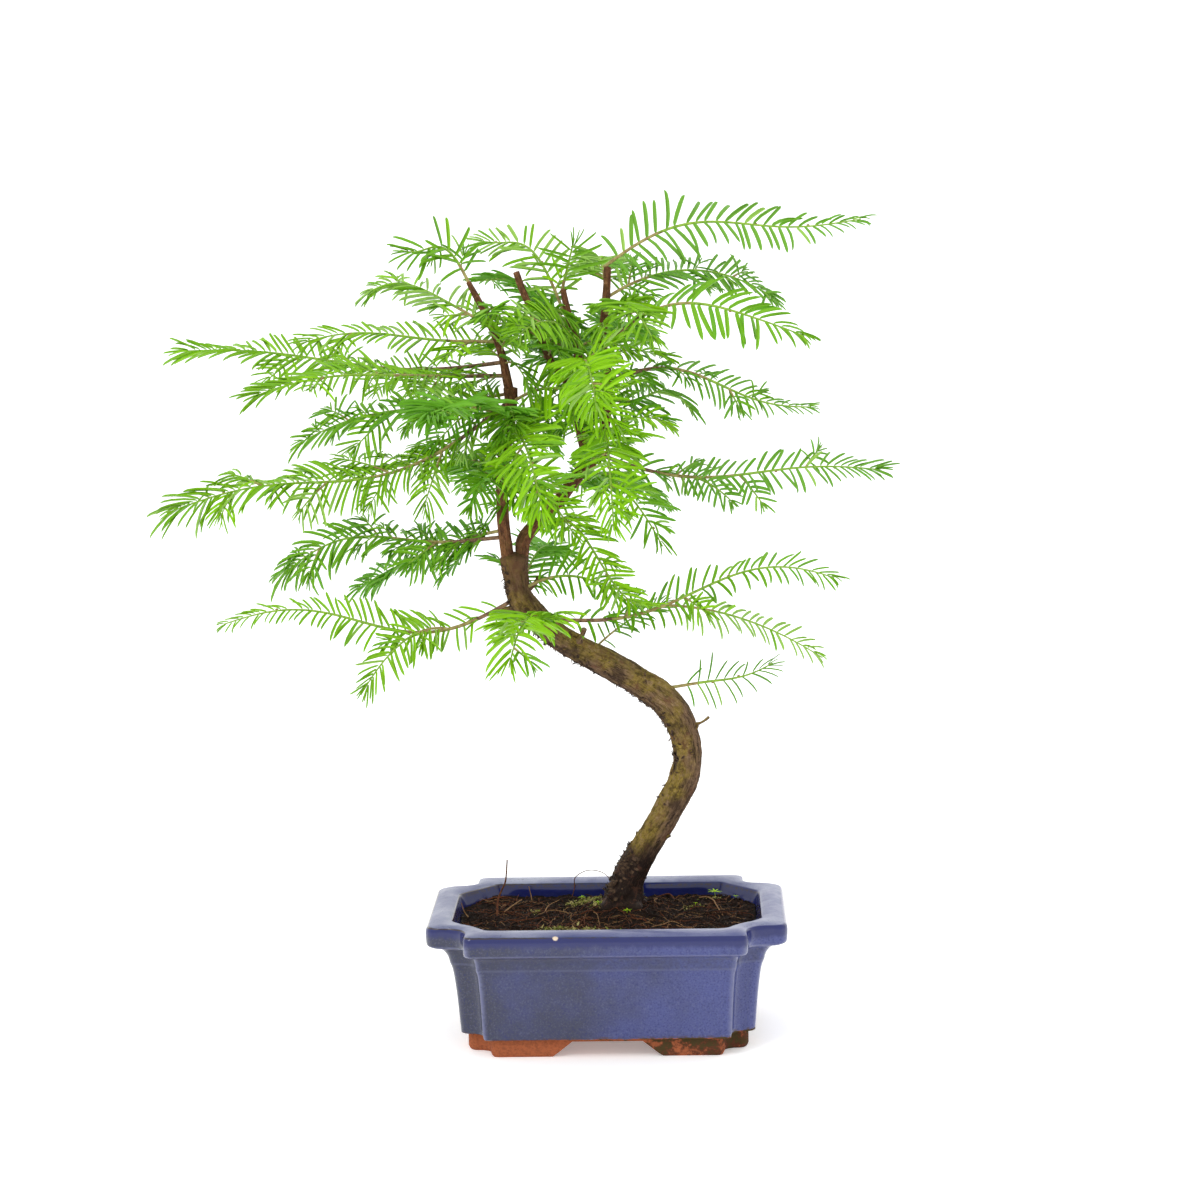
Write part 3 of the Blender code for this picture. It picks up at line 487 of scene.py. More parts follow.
rust = abs(height - edge - 0.5).ramp(0.9, 0.1) * grain.ramp(0.4, 0.6) * 0.6
body = glaze.mix(rust, body, DARK_CLAY)
body = glaze.mix(bare, body, clay)
rough = 0.26 + grain * 0.14 + bare * 0.5 + chip * 0.3 + rim * 0.12
glaze.wear(base_color=body, roughness=rough)
glaze.wear(coat_weight=(1 - bare) * (1 - chip) * (1 - rim * 0.7) * 0.9)
ripple = glaze.bump(glaze.noise(spot, 0.16, 2.0), 0.6, 0.4)
pits = glaze.bump(fleck * (1 - bare) * 0.35 + clay_grain * bare - chip * 0.9, 0.35, 0.6, ripple)
glaze.wear(normal=pits)

pot = piece_of("glazed_pot", pot_mesh(), [glaze])
pot.data.set_sharp_from_angle(angle=math.radians(52))
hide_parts("pot")

# The soil is a crumbly, peaty potting mix, heaped a little at the trunk. It is matted with reddish and
# tan root fibres, some of them standing up, and moss, pebbles and a few seedlings have settled on it.
SOIL_TOP, MOUND_TOP, MOUND_FOOT, MOUND_FLAT = 55.0, 58.4, 29.0, 11.0
TRUNK_FOOT = (7.2, 14.0)
SOIL_GAP, SOIL_STRIDE, SOIL_SINK, SOIL_AROUND = 0.35, 0.75, 14.5, 420
SOIL_X, SOIL_Y = 70, 45  # half its length and width
# A place is clear of its cut corners while X and Y, each over its own reach, add up to less.
CORNER_X, CORNER_Y, CORNER_SUM = 26, 28.5, 3.9


def soil_height(x, y):
    """The soil's rough surface: a heap round the trunk, lumps and grains."""
    away = math.hypot(x - TRUNK_FOOT[0], (y - TRUNK_FOOT[1]) * 0.9)
    share = min(1.0, max(0.0, (MOUND_FOOT - away) / (MOUND_FOOT - MOUND_FLAT)))
    heap = (MOUND_TOP - SOIL_TOP) * share * share * (3 - 2 * share)
    lumps = 1.1 * noise.noise(Vector((x, y, 3)) * 0.09) + 0.9 * noise.noise(Vector((x, y, 7)) * 0.24)
    grains = 0.55 * noise.noise(Vector((x, y, 11)) * 0.62) + 0.35 * noise.noise(Vector((x, y, 5)) * 1.5)
    return SOIL_TOP + heap + lumps + grains - 0.4


def soil_mesh():
    """Rings of points from the wall of the pot to the middle, then the hidden block below."""
    length, width = CAVITY_TOP[:2]
    share = (RIM_HEIGHT - SOIL_TOP) / (RIM_HEIGHT - CAVITY_FLOOR_HEIGHT)
    sizes = [t + (f - t) * share for t, f in zip(CAVITY_TOP, CAVITY_FLOOR)]
    around = SOIL_AROUND
    ways = [Vector((math.cos(a), math.sin(a))) for a in np.linspace(0, 2 * math.pi, around, False)]
    rim = [point - way * SOIL_GAP for point, way in zip(cut_corner_ring(sizes, ways), ways)]
    floor = [point - way * SOIL_GAP for point, way in zip(cut_corner_ring(CAVITY_FLOOR, ways), ways)]
    count = round(sizes[0] / SOIL_STRIDE)
    places = [(p.x, p.y, SOIL_SINK) for p in floor]
    for row in range(count):
        keep = 1 - row / count
        places += [(p.x * keep, p.y * keep, soil_height(p.x * keep, p.y * keep)) for p in rim]
    places.append((0.0, 0.0, soil_height(0, 0)))
    faces = [tuple(reversed(range(around)))] + wrapped(count, around)
    last = count * around
    faces += [(last + i, last + (i + 1) % around, len(places) - 1) for i in range(around)]
    return mesh_of("soil", places, faces)


PEAT, DARK_PEAT, RED_PEAT = (0.020, 0.009, 0.0045), (0.005, 0.0025, 0.0015), (0.066, 0.024, 0.010)
soil_finish = Finish("damp_soil", specular_ior_level=0.15)
spot = soil_finish.place()
crumbs = soil_finish.noise(spot, 0.75, 6.0, 0.72)
patches = soil_finish.noise(spot, 0.12, 3.0)
tone = soil_finish.mix(crumbs.ramp(0.38, 0.62), DARK_PEAT, PEAT)
tone = soil_finish.mix(crumbs.ramp(0.55, 0.72) * patches.ramp(0.35, 0.65) * 0.8, tone, RED_PEAT)
soil_finish.wear(base_color=tone, roughness=0.72 + crumbs * 0.25)
soil_finish.wear(normal=soil_finish.bump(crumbs, 1.4, 1.0))
soil = piece_of("soil_surface", soil_mesh(), [soil_finish])
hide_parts("soil")


class Rule(Nodes):
    """A geometry node tree with named inputs, which ends in a plain mesh that wears one finish."""

    def __init__(self, name, **inputs):
        self.tree = bpy.data.node_groups.new(name, "GeometryNodeTree")
        self.tree.interface.new_socket("Geometry", in_out="OUTPUT", socket_type="NodeSocketGeometry")
        for entry, kind in {"Geometry": "Geometry", **inputs, "Finish": "Material"}.items():
            self.tree.interface.new_socket(entry, in_out="INPUT", socket_type=f"NodeSocket{kind}")
        self.given = self.tree.nodes.new("NodeGroupInput")
        self.result = self.tree.nodes.new("NodeGroupOutput")

    def input(self, name):
        return Value(self, self.given.outputs[name])

    def stored(self, name, kind="FLOAT"):
        """What the base mesh stores on each of its points under a name."""
        return self.node("GeometryNodeInputNamedAttribute", {"data_type": kind}, {"Name": name})

    def ends(self, geometry):
        whole = self.node("GeometryNodeRealizeInstances", {}, {"Geometry": geometry})
        sockets = {"Geometry": whole, "Material": self.input("Finish")}
        self.feed(self.result.inputs[0], self.node("GeometryNodeSetMaterial", {}, sockets))

    def grow(self, name, base, **given):
        """The plain mesh that the tree makes from a base mesh."""
        carrier = linked(name, base)
        modifier = carrier.modifiers.new("rule", "NODES")
        modifier.node_group = self.tree
        for item in self.tree.interface.items_tree:
            if item.in_out == "INPUT" and item.name in given:
                modifier[item.identifier] = given[item.name]
        return settled(carrier, name)


def strand_rule():
    """Round strands along the edges of a mesh, as thick as its thick attribute says."""
    rule = Rule("strands", Sides="Int")
    line = rule.node("GeometryNodeMeshToCurve", {}, {0: rule.input("Geometry")})
    sockets = {"Resolution": rule.input("Sides"), "Radius": 1.0}
    ring = rule.node("GeometryNodeCurvePrimitiveCircle", {}, sockets)
    sockets = {"Curve": line, "Profile Curve": ring, "Scale": rule.stored("thick"), "Fill Caps": True}
    rule.ends(rule.node("GeometryNodeCurveToMesh", {}, sockets))
    return rule


strands = strand_rule()


def strand_mesh(name, lines, sides, finish):
    """One joined mesh of strands, from lists of (x, y, z, radius) rows."""
    places = [row[:3] for line in lines for row in line]
    edges, start = [], 0
    for line in lines:
        edges += [(start + i, start + i + 1) for i in range(len(line) - 1)]
        start += len(line)
    base = mesh_of(name, places, [], edges)
    mark(base, "thick", [row[3] * MM for line in lines for row in line])
    return strands.grow(name, base, Sides=sides, Finish=finish.material)


# Fibres of each kind: how many, least and greatest radius, and colour.
FIBRES = {
    "red": (210, (0.09, 0.26), (0.125, 0.042, 0.018)),
    "tan": (110, (0.07, 0.20), (0.300, 0.165, 0.075)),
    "dark": (260, (0.12, 0.34), (0.026, 0.012, 0.007)),
}
# Roots that stand up out of the soil or lie on it: kind, radius at foot and tip, and the places they
# pass, each as X, Y and the height above the soil.
SINGLE_ROOTS = [
    ("red", 0.62, 0.34, [(-54, 8, 0), (-54, 16, 5), (-52.5, 21, 9), (-50.5, 24, 14), (-49.5, 25, 24)]),
    ("tan", 0.34, 0.20, [(-38.5, 38, 0), (-39, 38.5, 3), (-40, 39, 7)]),
    (
        "red",
        0.26,
        0.18,
        [(-19, 40, 0), (-17.5, 41, 6), (-17, 41, 11), (-11, 41, 14), (-4, 40, 13.5), (1, 40, 9)],
    ),
    ("tan", 0.34, 0.14, [(-67.5, 2, 0), (-69.5, 3, 3), (-71, 4, 7)]),
    ("dark", 0.26, 0.16, [(-64, -12, 0), (-67.5, -15, 4.5), (-70, -22, 6.5), (-70.5, -30, 5.6)]),
    ("tan", 0.46, 0.34, [(-51, 13, 0.2), (-47, 23, 1.2), (-43.5, 36, 0.8)]),
    ("tan", 0.30, 0.20, [(-31, 8, 0.2), (-29.5, 20, 1.6), (-25, 36, 1.0)]),
    ("tan", 0.30, 0.20, [(-34, 6, 0.2), (-27, 12, 1.4), (-18, 8, 0.2)]),
    ("red", 0.42, 0.30, [(-62, 38, 0.2), (-53, 41, 1.6), (-45, 39, 0.4)]),
    ("red", 0.38, 0.26, [(-54, 8, 0.1), (-46, -4, 0.8), (-40, -6, 1.0), (-31, 2, 0.2)]),
    ("red", 0.50, 0.42, [(20, 33, 0.1), (24, 40, 1.4), (29, 42, 1.2), (32, 36, 0.1)]),
    ("tan", 0.42, 0.30, [(44, 38, 0.6), (48, 36, 1.2), (51, 28, 1.6), (52, 18, 1.4), (55, 2, 0.2)]),
    ("tan", 0.26, 0.16, [(21, 29, 0.2), (23.5, 22, 1.8), (22, 17, 1.6), (25, 11, 0.2)]),
    ("red", 0.30, 0.20, [(-14, -4, 0.1), (-11.5, -10, 2.4), (-10.5, -20, 0.2)]),
    ("tan", 0.22, 0.14, [(-7, 2, 0.2), (-5, -8, 3.0), (-3.4, -20, 0.2)]),
    ("red", 0.30, 0.20, [(-34, -14, 0.2), (-31, -6, 1.6), (-27, -12, 1.2), (-30, -26, 0.2)]),
    ("tan", 0.30, 0.18, [(20, -14, 0.2), (26, -18, 1.4), (31, -12, 0.8), (36, -16, 0.2)]),
]


def smooth_line(points, step):
    """Places and radii read every step along a smooth curve through x, y, z, radius points."""
    rows = np.array(points, float)
    ends = np.vstack([2 * rows[0] - rows[1], rows, 2 * rows[-1] - rows[-2]])
    line = []
    for a, b, c, d in zip(ends, ends[1:], ends[2:], ends[3:]):
        count = max(2, round(float(np.linalg.norm(c[:3] - b[:3])) / step))
        for i in range(count):
            t = i / count
            curve = 2 * b + (c - a) * t + (2 * a - 5 * b + 4 * c - d) * t**2
            line.append((curve + (3 * b - a - 3 * c + d) * t**3) / 2)
    line.append(rows[-1])
    return np.array(line)


def fibre(rule, size):
    """A fibre that wanders over the soil, its ends dipping under."""
    x, y = rule.uniform(2 - SOIL_X, SOIL_X - 2), rule.uniform(2 - SOIL_Y, SOIL_Y - 2)
    heading, bend = rule.uniform(0, 2 * math.pi), rule.uniform(-0.16, 0.16)
    radius, stride = rule.uniform(*size), 1.3
    count = rule.randint(8, 22)
    lift = rule.uniform(0.1, 0.9)
    rows = []
    for i in range(count):
        t = i / (count - 1)
        rise = radius + lift * 4 * t * (1 - t) - (0.6 if i in (0, count - 1) else 0.0)
        rows.append((x, y, soil_height(x, y) + rise, radius * (1.15 - 0.6 * t)))
        heading += bend + rule.uniform(-0.28, 0.28)
        x, y = x + math.cos(heading) * stride, y + math.sin(heading) * stride
        corner = abs(x) / CORNER_X + abs(y) / CORNER_Y
        if abs(x) > SOIL_X or abs(y) > SOIL_Y or corner > CORNER_SUM + 0.05:
            break
    return rows


fibre_rule = random.Random(41)
for kind, (count, size, colour) in FIBRES.items():
    lines = [line for line in (fibre(fibre_rule, size) for _ in range(count)) if len(line) > 4]
    for single, thick, thin, stops in SINGLE_ROOTS:
        if single == kind:
            radii = [thick + (thin - thick) * i / (len(stops) - 1) for i in range(len(stops))]
            rows = [(x, y, soil_height(x, y) + up, radius) for (x, y, up), radius in zip(stops, radii)]
            lines.append([tuple(row) for row in smooth_line(rows, 1.0)])
    finish = Finish(f"{kind}_root", specular_ior_level=0.15, roughness=0.8)
    finish.mottled((darker(colour, 0.45), colour), 0.8, 3.0, (0.3, 0.65))
    roots = piece_of(f"{kind}_root_fibres", strand_mesh("fibres", lines, 5, finish), [finish])


def lump_mesh(name, seed, stretch):
    """A small rough lump of twenty faces."""
    shape = bmesh.new()
    bmesh.ops.create_icosphere(shape, subdivisions=1, radius=1.0)
    rule = random.Random(seed)
    for vert in shape.verts:
        vert.co = Vector([c * s for c, s in zip(vert.co * rule.uniform(0.72, 1.1), stretch)])
    mesh = bpy.data.meshes.new(name)
    shape.to_mesh(mesh)
    shape.free()
    return mesh


def scatter_rule():
    """One of a collection's shapes stood on each point, turned and sized by the point's attributes."""
    rule = Rule("scatter", Shapes="Collection")
    sockets = {0: rule.input("Shapes"), "Separate Children": True, "Reset Children": True}
    shapes = rule.node("GeometryNodeCollectionInfo", {"transform_space": "ORIGINAL"}, sockets)
    turn = rule.node("FunctionNodeEulerToRotation", {}, {0: rule.stored("turn", "FLOAT_VECTOR")})
    sockets = {"Points": rule.input("Geometry"), "Instance": shapes, "Pick Instance": True}
    sockets.update({"Instance Index": rule.stored("kind", "INT"), "Rotation": turn})
    sockets["Scale"] = rule.stored("size", "FLOAT_VECTOR")
    rule.ends(rule.node("GeometryNodeInstanceOnPoints", {}, sockets))
    return rule


def turn_to(ahead, side, over):
    """The turn that lays a shape's own X, Y and Z along three directions."""
    return tuple(Matrix((ahead, side, over)).transposed().to_euler("XYZ"))


scatter = scatter_rule()
Stand = namedtuple("Stand", "place kind turn size")


def scattered(name, stands, shapes, finish):
    """One joined mesh of small shapes, from a list of stands."""
    base = mesh_of(name, [stand.place for stand in stands], [])
    mark(base, "kind", [stand.kind for stand in stands], "INT")
    mark(base, "turn", [stand.turn for stand in stands], "FLOAT_VECTOR")
    mark(base, "size", np.array([stand.size for stand in stands], float) * MM, "FLOAT_VECTOR")
    group = bpy.data.collections.new(name)
    stage.children.link(group)
    for number, shape in enumerate(shapes):
        linked(f"shape{number}", shape, group)
    mesh = scatter.grow(name, base, Shapes=group, Finish=finish.material)
    clear_group(group)
    return mesh


def on_soil(rule):
    """A place on the soil, inside its cut corners."""
    while True:
        x, y = rule.uniform(1 - SOIL_X, SOIL_X - 1), rule.uniform(1 - SOIL_Y, SOIL_Y - 1)
        if abs(x) / CORNER_X + abs(y) / CORNER_Y < CORNER_SUM:
            return x, y


LUMPS = [(1, (1, 0.8, 0.6)), (2, (1.2, 0.7, 0.55)), (3, (0.8, 0.9, 0.7)), (4, (1.7, 0.5, 0.35))]
# Loose matter: how many, the least and greatest size, how far it sinks, and its colour.
LITTER = {
    "peat_crumbs": (3400, (0.30, 1.15), 0.2, (0.018, 0.0085, 0.005)),
    "bark_crumbs": (800, (0.30, 1.05), 0.15, (0.075, 0.030, 0.014)),
    "pebbles": (16, (0.4, 0.9), 0.3, (0.23, 0.20, 0.14)),
}
lumps = [lump_mesh("lump", seed, stretch) for seed, stretch in LUMPS]
litter_rule = random.Random(17)
for name, (count, sizes, sink, colour) in LITTER.items():
    stands = []
    for _ in range(count):
        x, y = on_soil(litter_rule)
        size = litter_rule.uniform(*sizes) * litter_rule.uniform(0.6, 1.0)
        turn = [litter_rule.uniform(-math.pi, math.pi) for _ in range(3)]
        place = (x, y, soil_height(x, y) + size * (0.5 - sink))
        stands.append(Stand(place, litter_rule.randrange(4), turn, (size, size, size)))
    finish = Finish(name, roughness=0.85, specular_ior_level=0.25)
    finish.mottled((darker(colour, 0.4), colour), 0.5, 4.0, (0.35, 0.6))
    litter = piece_of(name, scattered(name, stands, lumps, finish), [finish], smooth=False)


def blade_shape(name, outline, bend, fold, sweep=0.0):
    """A flat leaf along X from 0 to 1: (place, half width) rows, bent down and folded on its midrib.

    The sweep curves it sideways by that share of its length over its breadth.
    """
    places, faces = [], []
    for x, half in outline:
        drop, y = -bend * x * x, sweep * x * x
        places += [(x, y + half, drop + fold * half), (x, y, drop), (x, y - half, drop + fold * half)]
    for row in range(len(outline) - 1):
        a = row * 3
        faces += [(a + 1, a + 4, a + 3, a), (a + 2, a + 5, a + 4, a + 1)]
    mesh = bpy.data.meshes.new(name)
    mesh.from_pydata(places, [], faces)
    return mesh


# Moss: the middle and the reach of each patch, how many tufts, and how tall they are.
MOSS_PATCHES = [
    ((-9, 30), (8, 6), 420, 1.9), ((-15, 26), (6, 5), 260, 1.5), ((-5, 12), (4, 4), 150, 1.7),
    ((-35, 10), (2.5, 3), 60, 1.6), ((-24, -24), (8, 4.0), 200, 2.2), ((-12, -28), (9, 4), 180, 2.2),
    ((-30, -29), (2.5, 3), 60, 1.6), ((4, -31), (6, 4), 150, 1.6), ((34, -30), (6, 3), 60, 1.3),
    ((40, 20), (5, 4), 60, 1.3), ((50, 38), (5, 2), 60, 1.3), ((14, 30), (3, 4), 60, 1.6),
]
# Seedlings: X, Y and height. Each has a ring of leaves on a stalk.
SEEDLINGS = [
    (52, 40, 3.6), (15, 29, 2.0), (42, 22, 1.3), (9, -4, 2.4),
    (-5, 11, 2.2), (62, 36, 1.6), (-14, 40, 2.0), (10, 40, 1.6),
]
SEED_LEAVES = 7
MOSS_TONES = {"moss": (0.170, 0.185, 0.022), "old_moss": (0.330, 0.275, 0.095)}
FRESH_MOSS = 0.55  # the share that is still green
moss_rule = random.Random(5)
leaflet = [blade_shape("leaflet", [(0, 0.10), (0.45, 0.17), (1.0, 0.02)], 0.3, 0.5)]
stands = {"moss": [], "old_moss": []}
for (x0, y0), (reach_x, reach_y), count, tall in MOSS_PATCHES:
    for _ in range(count):
        x, y = x0 + moss_rule.gauss(0, reach_x / 2), y0 + moss_rule.gauss(0, reach_y / 2)
        heading, pitch = moss_rule.uniform(-math.pi, math.pi), moss_rule.uniform(-1.4, -0.5)
        size = tall * moss_rule.uniform(0.6, 1.25)
        kind = "moss" if moss_rule.random() < FRESH_MOSS else "old_moss"
        place = (x, y, soil_height(x, y) - 0.1)
        stands[kind].append(Stand(place, 0, (0, pitch, heading), (size, size * 1.4, size)))
for name, rows in stands.items():
    finish = Finish(name, base_color=MOSS_TONES[name])
    finish.wear(roughness=0.7 + finish.noise(finish.place(), 1.0) * 0.2)
    moss = piece_of(name, scattered(name, rows, leaflet, finish), [finish])
sprout = Finish("seedling_leaf", base_color=(0.310, 0.500, 0.008), roughness=0.6, specular_ior_level=0.1)
seedling_leaf = [blade_shape("seed_leaf", [(0, 0.05), (0.4, 0.11), (0.8, 0.10), (1.0, 0.03)], 0.25, 0.3)]
rows, stalks = [], []
for x, y, size in SEEDLINGS:
    foot = soil_height(x, y)
    top = (x + moss_rule.uniform(-0.6, 0.6), y, foot + size * 0.9)
    stalks.append([(x, y, foot - 0.5, 0.16), (*top, 0.12)])
    for i in range(SEED_LEAVES):
        pitch = moss_rule.uniform(-0.5, -0.1)
        turn = (0, pitch, i * 2 * math.pi / SEED_LEAVES + moss_rule.uniform(-0.2, 0.2))
        rows.append(Stand(top, 0, turn, (size, size, size)))
leaves = piece_of("seedling_leaves", scattered("seedlings", rows, seedling_leaf, sprout), [sprout])
sprouts = piece_of("seedling_stalks", strand_mesh("stalks", stalks, 5, sprout), [sprout])

# The trunk leans right, bends back and forks. Its thin brown bark flakes lengthwise and is dark and wet
# at the soil. Where it faces the light it is olive, partly from algal growth and partly as painted light,
# and paler, which is painted light. Cut twigs have left stubs on it, and the inside of its bend is torn.

# Each limb's line as x, y, z and radius, from its foot to its tip.
LIMBS = {
    "trunk": [
        (7.2, 14.0, 58.7, 11.0), (8.0, 13.8, 64.0, 8.8), (12.0, 13.0, 76.0, 7.4), (28.0, 10.0, 103.0, 6.8),
        (38.0, 8.0, 123.0, 6.7), (38.8, 7.0, 139.0, 6.6), (31.5, 5.0, 157.0, 7.3), (12.0, 4.0, 172.0, 6.8),
        (-20.0, 1.0, 191.0, 6.2), (-37.5, 0.0, 208.5, 5.8), (-41.0, 0.0, 221.0, 5.6),
        (-41.6, 0.2, 230.0, 6.4),
    ],
    "left_stem": [
        (-44.7, -0.6, 230.4, 3.0), (-46.4, -3.0, 249.0, 2.9), (-46.3, -4.0, 272.0, 2.8),
        (-43.6, -5.0, 287.0, 2.7), (-41.5, -5.0, 303.0, 2.9), (-41.5, -5.0, 311.0, 3.3),
    ],
    "right_stem": [
        (-38.2, 1.2, 230.4, 3.1), (-36.0, 3.5, 240.0, 3.3), (-22.0, 8.0, 254.0, 3.1),
        (-12.0, 10.0, 267.0, 3.0), (-3.0, 10.5, 277.5, 3.4), (2.0, 11.0, 291.0, 2.4),
        (4.2, 12.0, 312.0, 2.1), (1.5, 12.0, 330.0, 2.0), (3.7, 12.0, 350.0, 1.9), (4.6, 12.0, 366.0, 1.7),
    ],
    "middle_stem": [
        (-7.6, 9.0, 279.9, 2.2), (-9.2, 8.4, 292.0, 3.0), (-9.6, 8.0, 311.0, 3.2), (-9.8, 8.0, 315.0, 2.2),
        (-10.4, 8.0, 332.0, 1.9), (-13.8, 8.0, 343.0, 1.7), (-16.4, 8.0, 356.0, 1.5),
    ],
    "cut_stem": [
        (-14.25, 6.75, 311.4, 1.9), (-23.0, 4.0, 323.0, 1.8), (-28.5, 3.0, 340.0, 1.7),
        (-35.4, 2.0, 357.0, 1.6), (-38.0, 2.0, 365.0, 1.5),
    ],
    "high_left_stem": [
        (-42.3, -5.0, 311.7, 2.2), (-46.0, -6.0, 330.0, 1.8), (-53.0, -6.0, 347.0, 1.5),
        (-60.0, -6.0, 361.0, 1.2),
    ],
}
# Stubs of cut twigs: height, heading, length and radius. Nubs are small knobs of bark among them.
STUBS = [
    (146, 350, 6.5, 0.8), (163, 80, 2.2, 0.9), (187, 318, 7.5, 1.4), (214, 20, 6.0, 1.3),
    (209, 172, 6.5, 1.4),
]
NUBS, NUB_HEIGHTS, NUB_LENGTHS, NUB_RADII = 26, (72, 226), (0.4, 1.5), (0.4, 0.95)
STUB_ROOT = 1.5  # how far inside the trunk a stub starts
# The trunk's foot runs on down into the soil and is wider there, and its crest rises and draws in.
TRUNK_BURIED, FOOT_SPREAD, CREST_RISE, CREST_DRAW = 4.0, 1.8, 1.6, 1.4
# Its flare at the soil: how many lobes, over what length, how far they stand out, and how rough.
FLARE_LOBES, FLARE_RUN, FLARE_OUT, FLARE_IN, FLARE_ROUGH = 5, 15.0, 0.34, 0.12, 0.22
# Points round each kind of limb, and how deep the relief of its bark is.
TRUNK_SKIN, STEM_SKIN, STUB_SKIN = (96, 1.25), (30, 0.42), (10, 0.45)
SCAR_WAY, SCAR_HEIGHT, SCAR_REACH, SCAR_DEPTH = Vector((-0.90, -0.44, 0.0)), 130.0, 9.0, 2.6
LIGHT_WAY, WET_REACH = Vector((-0.45, -0.45, 0.77)), 40.0  # where light comes from; how high damp climbs


def limb_at(name, height):
    """Centre, direction and radius of a limb at a height."""
    line = smooth_line(LIMBS[name], 3.0)
    above = int(np.argmax(line[:, 2] >= height))
    above = min(max(above, 1), len(line) - 1)
    low, high = line[above - 1], line[above]
    share = (height - low[2]) / (high[2] - low[2])
    place = low + (high - low) * share
    return Vector(place[:3]), Vector(high[:3] - low[:3]).normalized(), float(place[3])


def bark_relief(around, run, coarse):
    """How far bark stands out at an angle and a length along the limb: ridges, plates and wrinkles."""
    turn = heading_way(around)
    ridge = noise.noise(turn * 2.1 + Vector((0, 0, run * 0.035)))
    strips = 1 - abs(noise.noise(turn * 4.5 + Vector((9, 0, run * 0.07)))) * 2
    wrinkle = noise.noise(turn * 1.6 + Vector((0, 5, run * 0.55)))
    plate = noise.noise(turn * 6.0 + Vector((3, 7, run * 0.33)))
    lump = noise.noise(turn * 1.3 + Vector((4, 2, run * 0.11)))
    crumb = noise.noise(turn * 11.0 + Vector((1, 8, run * 0.9)))
    broad, close = 0.30 * ridge + 0.16 * strips, 0.12 * wrinkle + 0.22 * plate
    return coarse * (broad + close + 0.40 * lump + 0.16 * crumb)


def torn_scar(angle, out, height):
    """How far a point of the trunk lies in the torn scar, from 0 to 1. Its edge stands out a little."""
    torn = 0.75 + 0.7 * noise.noise(Vector((angle * 2.5, 3, height * 0.3)))
    scar = torn * math.exp(-(((height - SCAR_HEIGHT) / SCAR_REACH) ** 2))
    return min(1.0, scar * max(0.0, out.dot(SCAR_WAY)) ** 9)


def flare(angle, run):
    """How many times wider the trunk is near the soil, where its roots stand out in lobes."""
    near = max(0.0, 1 - run / FLARE_RUN)
    lobe = max(0.0, math.cos(FLARE_LOBES * angle + math.sin(2 * angle) + 0.6))
    rough = noise.noise(heading_way(angle) * 2.2 + Vector((0, 0, run * 0.28)))
    return 1 + (FLARE_OUT * lobe - FLARE_IN) * near**1.5 + FLARE_ROUGH * rough * near


class Skin:
    """Rings of points round limbs, gathered into one mesh, with what the bark's finish reads.

    The grain is each point's place on the unrolled limb, lit is how far it faces the light, and wet
    is high by the soil and in the scar.
    """

    def __init__(self):
        self.places, self.faces, self.cut_faces = [], [], []
        self.grain, self.lit, self.wet = [], [], []

    def point(self, place, out, around, run, radius, scar=0.0):
        self.places.append(tuple(place))
        self.grain.append((math.cos(around) * radius, math.sin(around) * radius, run))
        self.lit.append(out.dot(LIGHT_WAY))
        self.wet.append(max(0.0, 1 - (place.z - MOUND_TOP) / WET_REACH, scar))

    def limb(self, rows, around, coarse, flared=False, cut=False, seed=0.0):
        """A limb's skin from rows of x, y, z, radius, its rings square to its line.

        The one that is flared, the trunk, has lobes at the soil and the scar. A cut limb ends in wood.
        """
        rows = np.array(rows, float)
        centres = [Vector(row[:3]) for row in rows]
        runs = [0.0]
        for a, b in zip(centres, centres[1:]):
            runs.append(runs[-1] + (b - a).length)
        ways = [Vector(way).normalized() for way in np.gradient(rows[:, :3], np.array(runs), axis=0)]
        side = ways[0].cross(Vector((0.3, 1, 0))).normalized()
        start = len(self.places)
        for centre, way, run, radius in zip(centres, ways, runs, rows[:, 3]):
            side = (side - way * side.dot(way)).normalized()
            over = way.cross(side)
            for i in range(around):
                angle = 2 * math.pi * i / around
                out = side * math.cos(angle) + over * math.sin(angle)
                reach, scar = radius + bark_relief(angle, run + seed, coarse), 0.0
                if flared:
                    scar = torn_scar(angle, out, centre.z)
                    reach = (reach - SCAR_DEPTH * scar * (2 * scar - 1)) * flare(angle, run)
                self.point(centre + out * reach, out, angle, run + seed, radius, scar * 0.7)
        self.faces += wrapped(len(rows) - 1, around, start)
        for row, way, sign in ((0, -ways[0], -1), (len(rows) - 1, ways[-1], 1)):
            radius = rows[row, 3]
            centre = centres[row] + way * radius * (0.12 if cut else 0.3)
            self.point(centre, way, 0.0, runs[row] + seed, 0.0)
            middle, ring = len(self.places) - 1, start + row * around
            for i in range(around):
                j = (i + 1) % around
                corners = (ring + i, ring + j, middle) if sign > 0 else (ring + j, ring + i, middle)
                if cut and sign > 0:
                    self.cut_faces.append(len(self.faces))
                self.faces.append(corners)

    def mesh(self, name):
        made = mesh_of(name, self.places, self.faces)
        mark(made, "grain", self.grain, "FLOAT_VECTOR")
        mark(made, "lit", self.lit)
        mark(made, "wet", self.wet)
        return made


